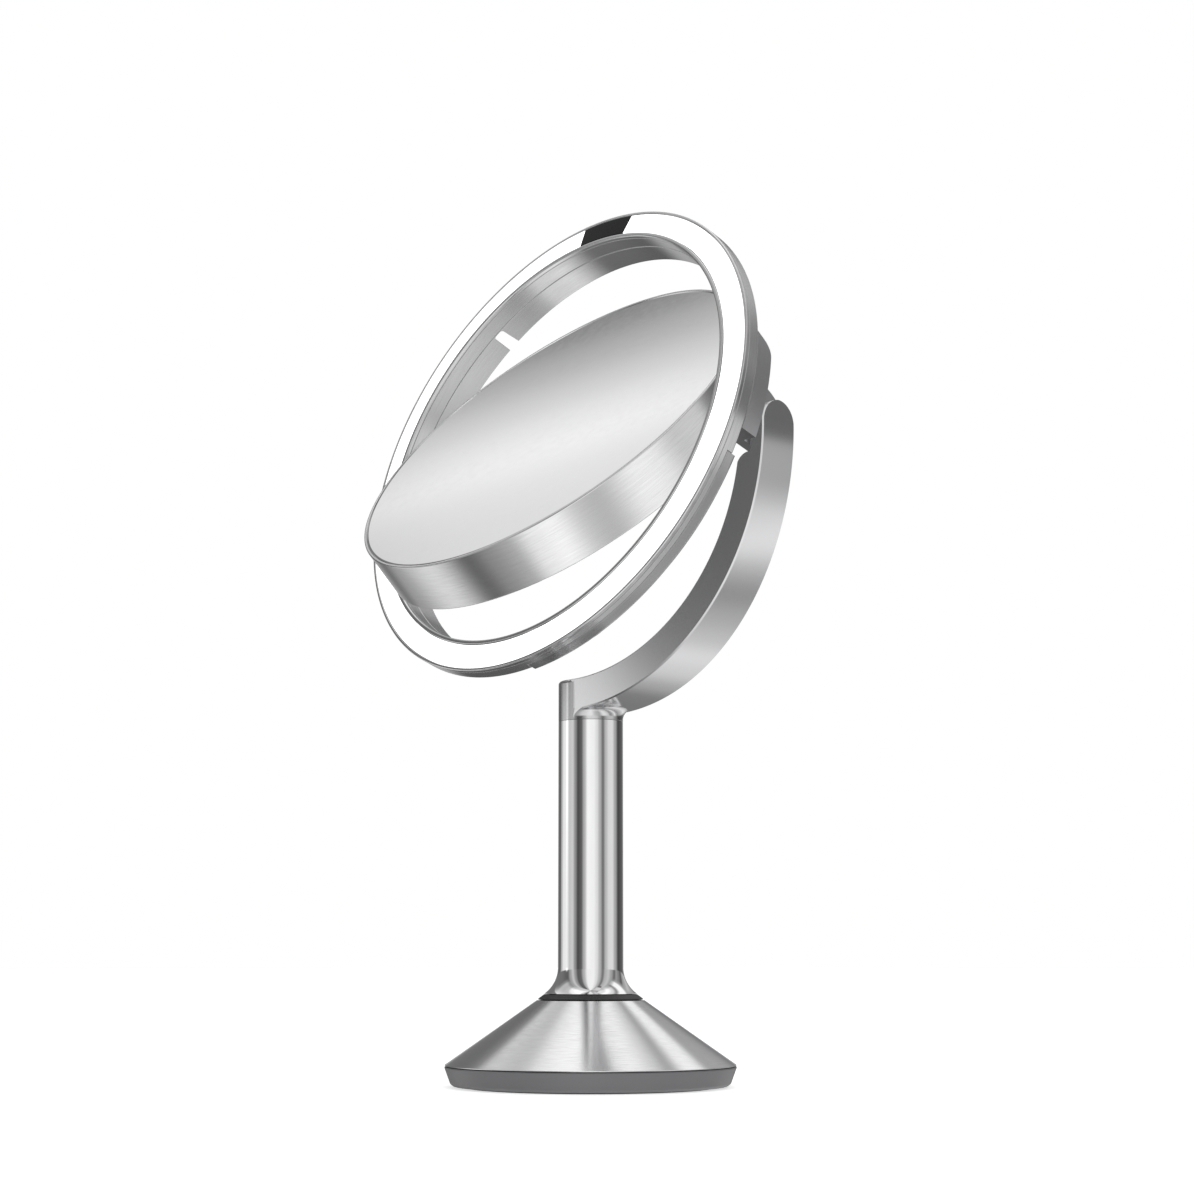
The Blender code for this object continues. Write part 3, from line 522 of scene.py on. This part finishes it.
def sector(name, start, end, low, high, inner, outer):
    """Part of a flat ring about the light ring's axis."""
    count = max(2, round(abs(end - start) / radians(1.5)))
    angles = [start + (end - start) * index / count for index in range(count + 1)]
    outline = [on_circle(outer, angle) for angle in angles]
    outline += [on_circle(inner, angle) for angle in reversed(angles)]
    return plate(name, outline, low, high, RING)


# -------------------------------------------------------------------- base
def make_base():
    """The brushed cone, the dark plinth under it and the ring at its top."""
    lip = PLINTH_TOP + GAP
    wall = 0.0016
    cone = fillet([(CONE_TOP_R - wall, CONE_TOP), (CONE_TOP_R, CONE_TOP), (CONE_R, lip),
                   (CONE_R - wall, lip)], [0.0, 0.0004, 0.0003, 0.0])
    finished(turned("cone_shell", cone, steps=256), "stand", STEEL, "base_cone")

    low = 0.0007
    pad_r = 0.0564
    under = 0.0015
    bore_r = 0.0080
    floor_top = 0.0035
    outline = [(0.0622, PLINTH_TOP), (CONE_R - 0.0002, PLINTH_TOP), (0.0628, 0.0018),
               (0.0614, low), (pad_r, low), (pad_r, under), (bore_r, under),
               (bore_r, floor_top), (0.0596, floor_top)]
    rounding = [0.0, 0.0005, 0.0012, 0.0006, 0.0002, 0.0, 0.0002, 0.0002, 0.0]
    plinth = turned("plinth_shell", fillet(outline, rounding), steps=256)
    screw_circle_r = 0.0280
    for index in range(4):
        x, y = on_circle(screw_circle_r, radians(48.75 + 90 * index))
        carve(plinth, rod("hole", ROD_HOLE_R, (x, y, -0.001), (x, y, 0.005), steps=32))
    finished(plinth, "stand", PLINTH, "base_plinth")

    gasket_bore_r = 0.0124
    seat = CONE_TOP + GAP
    gasket = fillet([(gasket_bore_r, GASKET_TOP), (GASKET_TOP_R, GASKET_TOP),
                     (CONE_TOP_R - 0.0001, seat), (gasket_bore_r, seat)],
                    [0.0, 0.0003, 0.0003, 0.0])
    finished(turned("gasket_shell", gasket), "stand", GASKET, "stem_gasket")


def make_stem():
    """The polished tube, whose foot flares out until it runs along the cone."""
    foot_z = GASKET_TOP + GAP
    flare_r = 0.0145
    wall = 0.0020
    edge = 0.0001
    slope = atan2(CONE_TOP - PLINTH_TOP, CONE_R - CONE_TOP_R)
    sweep = pi / 2 - slope
    centre = (STEM_R + flare_r, foot_z + flare_r * sin(sweep))
    flare = arc(centre, flare_r, pi, pi + sweep, 28)
    inner = STEM_R - wall
    top = STEM_TOP + 0.0002
    outline = [(inner, top), (STEM_R - edge, top), (STEM_R, top - edge), *flare,
               (inner, foot_z)]
    finished(turned("stem_shell", outline, steps=160), "stand", POLISHED, "stem_tube")


# --------------------------------------------------------------------- arm
def arm_section(half, edge):
    """Outline of the arm's section, as (outward, sideways) pairs."""
    depth = ARM_OUTER_R - ARM_INNER_R
    return rounded([(0.0, -half), (depth, -half), (depth, half), (0.0, half)], edge, 1)


def arm_fillet():
    """The sweep from the round boss out to the arm's underside."""
    centre_r = STEM_R + ARM_FILLET_R
    centre_z = ARM_CENTRE_Z - sqrt((ARM_OUTER_R + ARM_FILLET_R) ** 2 - centre_r ** 2)
    sweep = arc((centre_r, centre_z), ARM_FILLET_R, radians(99), radians(180), 16)
    inside_arm = 0.0006
    top = sweep[0][1] + inside_arm
    solid = turned("arm_fillet", [(0.0, top), (sweep[0][0], top), *sweep,
                                  (0.0, sweep[-1][1])], steps=128)
    trim = box("arm_fillet_trim", (0.0, -0.0143, 0.160), (0.030, 0.0143, 0.175))
    soften(trim, 0.0016, 5)
    carve(solid, trim, 'INTERSECT')
    return solid


def make_arm():
    """A swept bar with chamfered edges, its round tip and its round foot."""
    edge = 0.0006
    shape = bmesh.new()
    loops = []
    count = 72
    grow = ARM_ROOT_HALF_WIDTH - ARM_TIP_HALF_WIDTH
    for index in range(count + 1):
        angle = pi / 2 * (1 - index / count)
        half = ARM_TIP_HALF_WIDTH + grow * sin(angle) ** 2
        loop = []
        for outward, sideways in arm_section(half, edge):
            radius = ARM_INNER_R + outward
            spot = (radius * cos(angle), sideways, ARM_CENTRE_Z - radius * sin(angle))
            loop.append(shape.verts.new(spot))
        loops.append(loop)
    lean = TILT_AXIS_Z - ARM_CENTRE_Z
    for lift in range(6, 85, 6):
        turn = radians(lift)
        half = ARM_TIP_HALF_WIDTH * cos(turn)
        loop = []
        for outward, sideways in arm_section(half, min(edge, half * 0.6)):
            rise = lean * min(1.0, lift / 12) + ARM_TIP_HALF_WIDTH * sin(turn)
            spot = (ARM_INNER_R + outward, sideways, ARM_CENTRE_Z + rise)
            loop.append(shape.verts.new(spot))
        loops.append(loop)
    for low, high in zip(loops, loops[1:]):
        for index in range(len(low)):
            other = (index + 1) % len(low)
            shape.faces.new((low[index], low[other], high[other], high[index]))
    shape.faces.new(loops[0])
    shape.faces.new(reversed(loops[-1]))
    arm = stand_in(finish_mesh(shape, "arm_shell"), "arm_shell", WORLD)

    top = ARM_CENTRE_Z - ARM_INNER_R - 0.00002
    low = STEM_TOP + GAP
    boss_edge = 0.0016
    seam_edge = 0.0001
    crown = arc((STEM_R - boss_edge, top - boss_edge), boss_edge, pi / 2, 0.0, 5)
    boss = turned("boss", [(0.0, top), (STEM_R - boss_edge, top), *crown[1:],
                           (STEM_R, low + seam_edge), (STEM_R - seam_edge, low), (0.0, low)],
                  steps=128)
    carve(arm, boss, 'UNION')
    carve(arm, arm_fillet(), 'UNION')

    # the tip is thinned on the inside for the lug, down to a round shoulder
    ledge = TILT_AXIS_Z - LUG_R - 0.0006
    shoulder_r = 0.0075
    centre = (0.1011 + shoulder_r, ledge - shoulder_r)
    past_tip = 0.31
    recess = [(THROUGH[0], past_tip), (ARM_TIP_FACE_X, past_tip), (ARM_TIP_FACE_X, ledge),
              *arc(centre, shoulder_r, radians(90), radians(165), 16),
              (THROUGH[0], centre[1] - 0.007)]
    carve(arm, plate("recess", recess, -0.02, 0.02, Matrix.Rotation(pi / 2, 4, 'X')))
    carve(arm, rod("rod_hole", ROD_HOLE_R, (0, 0, 0.160), (0, 0, 0.1730), steps=32))
    carve(arm, rod("axle_hole", AXLE_HOLE_R, (0.105, 0, TILT_AXIS_Z), (0.1151, 0, TILT_AXIS_Z),
                   steps=32))
    finished(arm, "stand", ARM_METAL, "arm", sharp=28)
    # the fine texture is laid out from the centre of the arm's circle
    shift = Matrix.Translation((0, 0, ARM_CENTRE_Z))
    arm.data.transform(shift.inverted())
    arm.matrix_world = shift


# --------------------------------------------------------------- light ring
def diffuser_outline(proud):
    """Section of the band between the bezels, raised a little where proud."""
    thick = 0.002
    inner_r = RING_INNER_R + INNER_BEZEL_WIDTH + GAP
    outer_r = RING_OUTER_R - RING_WALL - GAP
    inner_n = INNER_FRONT_N - 0.0004 + proud
    outer_n = RING_FRONT_N - 0.0002 + proud
    return fillet([(inner_r, inner_n), (outer_r, outer_n), (outer_r, outer_n - thick),
                   (inner_r, inner_n - thick)], [0.0003, 0.0003, 0.0, 0.0])


def make_ring():
    """The housing's channel, two bezels, the lit band and the sensor window."""
    back_high = RING_BACK_N + 0.0013
    inner_wall_r = RING_INNER_R + RING_WALL
    outer_wall_r = RING_OUTER_R - RING_WALL
    inner_back = INNER_FRONT_N - BEZEL_DEPTH
    outer_back = RING_FRONT_N - BEZEL_DEPTH
    inner_top = inner_back - GAP
    outer_top = outer_back - GAP
    outline = [(outer_wall_r, outer_top), (RING_OUTER_R, outer_top), (RING_OUTER_R, RING_BACK_N),
               (RING_INNER_R, RING_BACK_N), (RING_INNER_R, inner_top),
               (inner_wall_r, inner_top), (inner_wall_r, back_high), (outer_wall_r, back_high)]
    rounding = [0.0, 0.0001, 0.0006, 0.0003, 0.0001, 0.0, 0.0, 0.0]
    housing = turned("housing_shell", fillet(outline, rounding), RING, 288)
    margin = 0.003      # radians
    seat = sector("seat", POD_START + margin, POD_END - margin, 0.010, POD_FRONT_N + GAP,
                  0.1149, 0.130)
    carve(housing, seat)
    finished(housing, "light_head", RING_STEEL, "ring_housing")

    outer = fillet([(outer_wall_r, RING_FRONT_N), (RING_OUTER_R, RING_FRONT_N),
                    (RING_OUTER_R, outer_back), (outer_wall_r, outer_back)],
                   [0.0002, 0.0008, 0.0001, 0.0])
    finished(turned("outer_bezel_ring", outer, RING, 288), "light_head", BEZEL,
             "outer_bezel")
    lip_r = RING_INNER_R + INNER_BEZEL_WIDTH
    inner = fillet([(RING_INNER_R, INNER_FRONT_N), (lip_r, INNER_FRONT_N),
                    (lip_r, inner_back), (RING_INNER_R, inner_back)],
                   [0.0006, 0.0004, 0.0, 0.0001])
    finished(turned("inner_bezel_ring", inner, RING, 288), "light_head", BEZEL,
             "inner_bezel")

    band = turned("light_band", diffuser_outline(0.0), RING, 288, pi / 2 + SENSOR_HALF_ANGLE,
                  pi / 2 + 2 * pi - SENSOR_HALF_ANGLE)
    finished(band, "light_head", OPAL, "light_diffuser")
    half = SENSOR_HALF_ANGLE - radians(0.18)
    window = turned("sensor_face", diffuser_outline(0.0001), RING, 288, pi / 2 - half,
                    pi / 2 + half)
    finished(window, "light_head", SENSOR, "sensor_window")


def make_sleeve():
    """The deep inner wall, with its notch and its hinge opening."""
    outer_r = RING_INNER_R + SLEEVE_WALL
    outline = fillet(ring_outline(RING_INNER_R, outer_r, SLEEVE_BACK_N, RING_BACK_N - GAP),
                     [0.0002, 0.0, 0.0003, 0.0003], 3)
    sleeve = turned("sleeve_shell", outline, RING, 288)
    # the notch narrows towards the front and has round inner corners
    back_half = 0.0036
    front_half = 0.0028
    notch = fillet([(0.0, -back_half), (NOTCH_FRONT_N, -front_half),
                    (NOTCH_FRONT_N, front_half), (0.0, back_half)],
                   [0.0, 0.0014, 0.0014, 0.0], 5)
    spin = Matrix.Rotation(NOTCH_ANGLE, 4, 'Z')
    carve(sleeve, plate("notch", notch, 0.100, 0.110, RING @ spin @ SIDEWAYS))
    near, far = THROUGH
    carve(sleeve, box("window", (near, -0.0134, 0.0), (far, 0.0206, 0.025), RING))
    carve(sleeve, box("relief", (near, -0.0232, 0.0), (far, -0.0130, 0.0126), RING))
    carve(sleeve, rod("pin_hole", 0.0024, (-0.107, 0, PIVOT_N), (-0.101, 0, PIVOT_N), RING,
                      steps=32))
    finished(sleeve, "light_head", RING_STEEL, "rear_sleeve")


def pod_face(angle, at_r):
    """A frame on the pod's sloping back, its Z square to the slope."""
    rise = POD_SHOULDER_N - POD_BACK_N
    run = RING_OUTER_R - POD_SLOPE_INSET - POD_CREST_R
    spot = Matrix.Translation((at_r, 0.0, POD_BACK_N + (at_r - POD_CREST_R) * rise / run))
    tip = Matrix.Rotation(-atan2(rise, run), 4, 'Y')
    return RING @ Matrix.Rotation(angle, 4, 'Z') @ spot @ tip


def make_pod():
    """The battery compartment's cover, hollow, with its openings."""
    inner_r = RING_INNER_R + SLEEVE_WALL + 0.0005
    rebate_r = 0.1152
    under_ring = RING_BACK_N - GAP
    outline = [(inner_r, under_ring), (rebate_r, under_ring), (rebate_r, POD_FRONT_N),
               (RING_OUTER_R, POD_FRONT_N), (RING_OUTER_R, POD_SHOULDER_N + 0.0004),
               (POD_CREST_R, POD_BACK_N), (inner_r, POD_BACK_N)]
    rounding = [0.0, 0.0, 0.0001, 0.0002, 0.0014, 0.0010, 0.0002]
    cover = turned("cover_shell", fillet(outline, rounding, 5), RING, 288, POD_START, POD_END)
    wall = 0.0013
    above = 0.030
    hollow = [(RING_INNER_R, above), (RING_OUTER_R - wall, above),
              (RING_OUTER_R - wall, POD_SHOULDER_N + 0.0018),
              (RING_OUTER_R - 0.0020, POD_SHOULDER_N + 0.0009), (0.1066, POD_BACK_N + wall),
              (RING_INNER_R, POD_BACK_N + wall)]
    carve(cover, turned("hollow", hollow, RING, 288, POD_START - radians(3.0),
                        POD_END + radians(3.0)))
    button = pod_face(BUTTON_ANGLE, BUTTON_AT_R)
    carve(cover, rod("hole", 0.0032, (0, 0, -0.006), (0, 0, 0.003), button, 48))
    port = pod_face(PORT_ANGLE, BUTTON_AT_R)
    half_width = 0.0019
    half_length = 0.0048
    slot = rounded([(-half_width, -half_length), (half_width, -half_length),
                    (half_width, half_length), (-half_width, half_length)], 0.0012, 5)
    carve(cover, plate("port_hole", slot, -0.006, 0.003, port))
    screw_r = 0.1105
    for angle in (POD_START - radians(1.5), POD_END + radians(1.5)):
        x, y = on_circle(screw_r, angle)
        carve(cover, rod("seat", 0.0020, (x, y, 0.008), (x, y, 0.0167), RING, 32))
    # the cover's darker steel is painted shade
    finished(cover, "light_head", SHADED_POD_STEEL, "battery_cover")


def make_bracket():
    """The hinge foot behind the ring, and the lug beside the arm."""
    foot_inner = RING_INNER_R + SLEEVE_WALL + 0.0005
    foot_back = 0.0111
    foot_top = 0.0380
    high = RING_BACK_N - GAP
    section = ring_outline(foot_inner, RING_OUTER_R - GAP, foot_back, high)
    foot = turned("bracket_shell", section, RING, 288, radians(-9.0),
                  asin(foot_top / RING_OUTER_R))
    side = RING @ SIDEWAYS
    near, far = 0.090, 0.130
    # the foot thins out upwards in a smooth curve, and is cut square below
    above = smooth([(0.0109, 0.0240), (0.0112, 0.0276), (0.0121, 0.0302), (0.0140, 0.0324),
                    (0.0166, 0.0341), (0.0190, 0.0353), (0.0215, 0.0370)], 6)
    carve(foot, plate("ramp", [(0.0090, 0.0240), *above, (0.0215, 0.0500), (0.0090, 0.0500)],
                      near, far, side))
    carve(foot, box("trim", (near, -0.030, 0.005), (far, -0.0130, 0.025), RING))
    rear = arc((0.0, 0.0), LUG_R, radians(270), radians(150), 20)
    crest = smooth([rear[-1], (-0.0080, 0.0104), (-0.0046, 0.0137), (0.0000, 0.0158),
                    (0.0050, 0.0172), (0.0110, 0.0187)], 5)
    outline = [*rear, *crest[1:], (high, 0.0195), (high, -LUG_R)]
    carve(foot, plate("lug", outline, LUG_INNER_X, LUG_OUTER_X, side), 'UNION')
    soften(foot, 0.0010, 5, 40)
    inside = 0.100
    carve(foot, rod("bore", AXLE_HOLE_R, (inside, 0, 0), (0.112, 0, 0), RING, 48))
    carve(foot, rod("counterbore", 0.0055, (inside, 0, 0), (0.1055, 0, 0), RING, 64))
    carve(foot, rod("pin_bore", 0.00195, (inside, 0, PIVOT_N), (0.1120, 0, PIVOT_N), RING, 32))
    finished(foot, "light_head", BRACKET_METAL, "hinge_bracket")


# ------------------------------------------------------------------- mirror
def make_mirror():
    """The band, the flat glass in front and the dished one behind."""
    inner = DISC_R - DISC_WALL
    outline = fillet([(inner, DISC_HALF), (DISC_R, DISC_HALF), (DISC_R, -DISC_HALF),
                      (inner, -DISC_HALF)], [0.0002, 0.0005, 0.0005, 0.0002])
    finished(turned("disc_band", outline, DISC, 288), "mirror", DISC_STEEL,
             "mirror_frame")

    face = DISC_HALF - GLASS_RECESS
    edge = 0.0009
    front = [(0.0, face), (GLASS_R - edge, face),
             *arc((GLASS_R - edge, face - edge), edge, pi / 2, 0.0, 4)[1:],
             (GLASS_R, face - GLASS_THICKNESS), (0.0, face - GLASS_THICKNESS)]
    finished(turned("plain_glass", front, DISC, 256), "mirror", GLASS,
             "front_mirror_glass")

    def dish(rim):
        count = 16
        points = []
        for index in range(count + 1):
            radius = GLASS_R * index / count
            points.append((radius, rim + DISH_SAG * (1 - (radius / GLASS_R) ** 2)))
        return points

    back = dish(GLASS_THICKNESS - face) + list(reversed(dish(-face)))
    finished(turned("magnifying_glass", back, DISC, 256), "mirror", GLASS,
             "magnifying_mirror_glass", sharp=50)


# ----------------------------------------------------------------- hardware
def dress_hardware():
    """Give every CAD node that stays in view its finished material."""
    finishes = {
        "foot_pad": PAD, "base_weight": IRON, "base_hub": BLACK, "power_button": BLACK,
        "mirror_carrier": BLACK, "pivot_block": BLACK, "friction_washer": BLACK,
        "battery_pack": CELL, "led_board": BOARD, "sensor_board": BOARD, "control_board": BOARD,
        "front_glass_tape": FOAM, "rear_glass_tape": FOAM, "pivot_washer_left": NYLON,
        "pivot_washer_right": NYLON,
    }
    # what rides on the ring or the mirror is left out of reflections, as in finished()
    unmirrored = ("led_board", "sensor_board", "control_board", "battery_pack", "usb_port",
                  "cover_screw_1", "cover_screw_2", "bracket_screw_1", "bracket_screw_2",
                  "pivot_block", "power_button", "mirror_carrier", "front_glass_tape",
                  "rear_glass_tape", "pivot_pin_left", "pivot_pin_right",
                  "pivot_washer_left", "pivot_washer_right")
    for name, item in NODES.items():
        if item.hide_render:
            continue
        if name in unmirrored:
            item.visible_glossy = False
        material = finishes.get(name, ZINC)
        for index in range(len(item.material_slots)):
            item.material_slots[index].material = material


# -------------------------------------------------------- floor, light, camera
def make_world():
    """A pale studio: soft bright panels with darker gaps between them."""
    world = bpy.data.worlds.new("studio")
    bpy.context.scene.world = world
    world.use_nodes = True
    graph = Graph(world.node_tree)
    world.node_tree.nodes.clear()
    way = graph.add('ShaderNodeTexCoord').outputs['Generated']
    x, y, z = graph.split(way)
    # bearings are taken from the camera's side of the object: in the stops below,
    # 0 degrees is behind the camera and +90 degrees is on its right
    turn_cos = 0.691
    turn_sin = 0.723
    side = graph.math('ADD', graph.math('MULTIPLY', x, turn_cos),
                      graph.math('MULTIPLY', y, turn_sin))
    toward = graph.math('SUBTRACT', graph.math('MULTIPLY', x, turn_sin),
                        graph.math('MULTIPLY', y, turn_cos))
    bearing = graph.math('ARCTAN2', side, toward)
    turn = graph.spread(bearing, -pi, pi, 0.0, 1.0)

    def round_about(*stops):
        return graph.ramp(turn, [((angle + 180) / 360, level) for angle, level in stops])

    horizon = round_about(
        (-180, 0.40), (-172, 0.48), (-155, 0.16), (-136, 0.12), (-122, 0.55), (-112, 0.90),
        (-97, 0.95), (-89, 0.85), (-81, 0.62), (-68, 0.68), (-56, 0.30), (-46, 0.08),
        (-34, 0.12), (-22, 0.50), (-10, 1.05), (10, 1.00), (22, 0.82), (32, 0.50), (44, 0.18),
        (56, 0.55), (68, 0.78), (82, 0.80), (97, 0.42), (114, 0.07), (140, 0.11), (165, 0.32),
        (180, 0.40))
    raised = round_about(
        (-180, 0.22), (-160, 0.18), (-120, 0.18), (-89, 0.12), (-76, 0.40), (-66, 0.62),
        (-56, 0.34), (-46, 0.12), (-36, 0.14), (-24, 0.50), (-10, 1.00), (10, 1.00), (22, 0.80),
        (32, 0.50), (44, 0.20), (54, 0.50), (66, 0.60), (78, 0.40), (92, 0.16), (102, 0.34),
        (113, 0.24), (125, 0.12), (137, 0.40), (150, 0.56), (160, 0.40), (170, 0.20),
        (180, 0.22))
    below = round_about(
        (-180, 0.22), (-169, 0.10), (-150, 0.40), (-128, 0.92), (-103, 0.10), (-82, 0.35),
        (-56, 0.50), (-25, 1.00), (0, 1.25), (20, 0.70), (32, 0.55), (48, 1.20), (64, 1.00),
        (76, 0.36), (83, 0.48), (91, 0.85), (97, 1.35), (103, 0.62), (110, 0.38), (121, 0.62),
        (133, 0.80), (145, 1.10), (156, 0.92), (165, 0.55), (171, 0.28), (180, 0.22))
    nadir = round_about(
        (-180, 1.05), (-150, 0.95), (-125, 0.70), (-103, 0.12), (-80, 0.35), (-56, 0.50),
        (-20, 1.10), (0, 1.25), (30, 0.90), (60, 0.75), (90, 0.48), (121, 0.56), (150, 0.90),
        (175, 0.90), (180, 1.05))
    # overhead, the panels run by height, and differ from left to right
    left = graph.ramp(z, [(0.45, 0.17), (0.58, 0.27), (0.68, 0.56), (0.76, 0.53), (0.84, 0.60),
                          (0.90, 1.05), (0.945, 1.25), (1.0, 1.05)])
    right = graph.ramp(z, [(0.45, 0.30), (0.57, 0.42), (0.65, 1.08), (0.73, 1.10), (0.80, 0.32),
                           (0.86, 0.80), (0.92, 1.20), (0.955, 0.85), (1.0, 0.90)])

    def blend(value, low, high, first, second):
        return graph.mix(graph.spread(value, low, high, 0.0, 1.0), first, second)

    ceiling = blend(side, -0.08, 0.08, left, right)
    ceiling = blend(toward, -0.10, 0.15, ceiling, raised)
    whole = blend(z, 0.102, 0.140, horizon, raised)
    whole = blend(z, 0.46, 0.58, whole, ceiling)
    whole = blend(z, -0.10, -0.26, whole, below)
    whole = blend(z, -0.78, -0.92, whole, nadir)

    def patch(level, direction, tightness, tone):
        """Blend a soft round patch of another tone into the studio."""
        near = graph.math('MAXIMUM', graph.vector('DOT_PRODUCT', way, direction), 0.0)
        return graph.mix(graph.math('POWER', near, tightness), level, tone)

    # a slanting fade, seen in the glass
    across = graph.vector('DOT_PRODUCT', way, (0.061, -0.944, 0.322))
    fade = graph.ramp(graph.spread(across, -0.045, 0.035, 0.0, 1.0),
                      [(0.0, 0.17), (0.12, 0.25), (0.26, 0.46), (0.45, 0.70), (0.54, 0.86),
                       (0.68, 0.98), (0.86, 0.84), (1.0, 0.80)])
    whole = patch(whole, (-0.709, 0.186, 0.680), 60.0, fade)
    # a lamp low down on the left, seen in the arm's root, and a dark panel
    # above it, seen in the rest of the arm's front
    whole = patch(whole, (-0.723, -0.681, 0.105), 420.0, (2.0, 2.0, 2.0, 1.0))
    whole = patch(whole, (-0.688, -0.668, 0.285), 160.0, (0.13, 0.13, 0.13, 1.0))

    # the backdrop itself is plain white
    seen = graph.add('ShaderNodeLightPath').outputs['Is Camera Ray']
    shown = graph.mix(seen, whole, (1.0, 1.0, 1.0, 1.0))
    background = graph.add('ShaderNodeBackground', {'Color': shown, 'Strength': 1.0})
    graph.add('ShaderNodeOutputWorld', {'Surface': background.outputs[0]})


def make_light(name, size, power, spot, target):
    """A soft panel that lights the piece without being seen in it."""
    data = bpy.data.lights.new(name, 'AREA')
    data.shape = 'RECTANGLE'
    data.size = size[0]
    data.size_y = size[1]
    data.energy = power
    lamp = bpy.data.objects.new(name, data)
    bpy.context.scene.collection.objects.link(lamp)
    lamp.location = spot
    lamp.rotation_euler = (Vector(target) - Vector(spot)).to_track_quat('-Z', 'Y').to_euler()
    lamp.visible_camera = False
    lamp.visible_glossy = False


def make_floor():
    """A white table that shows only a faint shadow."""
    material, graph, shader = shader_material("pale_floor", Roughness=0.7)
    place = graph.add('ShaderNodeTexCoord').outputs['Object']
    cloud = graph.noise(place, 6.0, 2.0)
    graph.put(shader.inputs['Base Color'], graph.tint(cloud, (0.86, 0.86, 0.86),
                                                      (0.89, 0.89, 0.89)))
    shader.inputs['Emission Color'].default_value = (1.0, 1.0, 1.0, 1.0)
    shader.inputs['Emission Strength'].default_value = 0.60
    shader.inputs['Specular IOR Level'].default_value = 0.1
    half = 9
    floor = box("floor", (-half, -half, -0.02), (half, half, 0.0))
    floor.data.materials.append(material)
    floor.visible_glossy = False


def make_camera():
    """A long lens low down on the user's right, looking slightly up."""
    data = bpy.data.cameras.new("camera")
    data.sensor_width = 36.0
    data.lens = 71.8
    camera = bpy.data.objects.new("camera", data)
    bpy.context.scene.collection.objects.link(camera)
    azimuth = radians(46.15)
    away = 1.086
    aside = 0.00287
    x = away * sin(azimuth) + aside * cos(azimuth)
    y = -away * cos(azimuth) + aside * sin(azimuth)
    height = 0.0575
    look_up = 8.6
    camera.location = (x, y, height)
    camera.rotation_euler = (radians(90 + look_up), 0.0, azimuth)
    data.clip_start = 0.02
    data.clip_end = 60.0
    bpy.context.scene.camera = camera


def main():
    make_base()
    make_stem()
    make_arm()
    make_ring()
    make_sleeve()
    make_pod()
    make_bracket()
    make_mirror()
    dress_hardware()
    make_world()
    make_light("top_panel", (1.2, 1.2), 9.0, (0.3, -0.4, 1.9), (0.0, 0.0, 0.1))
    make_floor()
    make_camera()
    bpy.context.scene.view_settings.view_transform = 'Standard'


main()
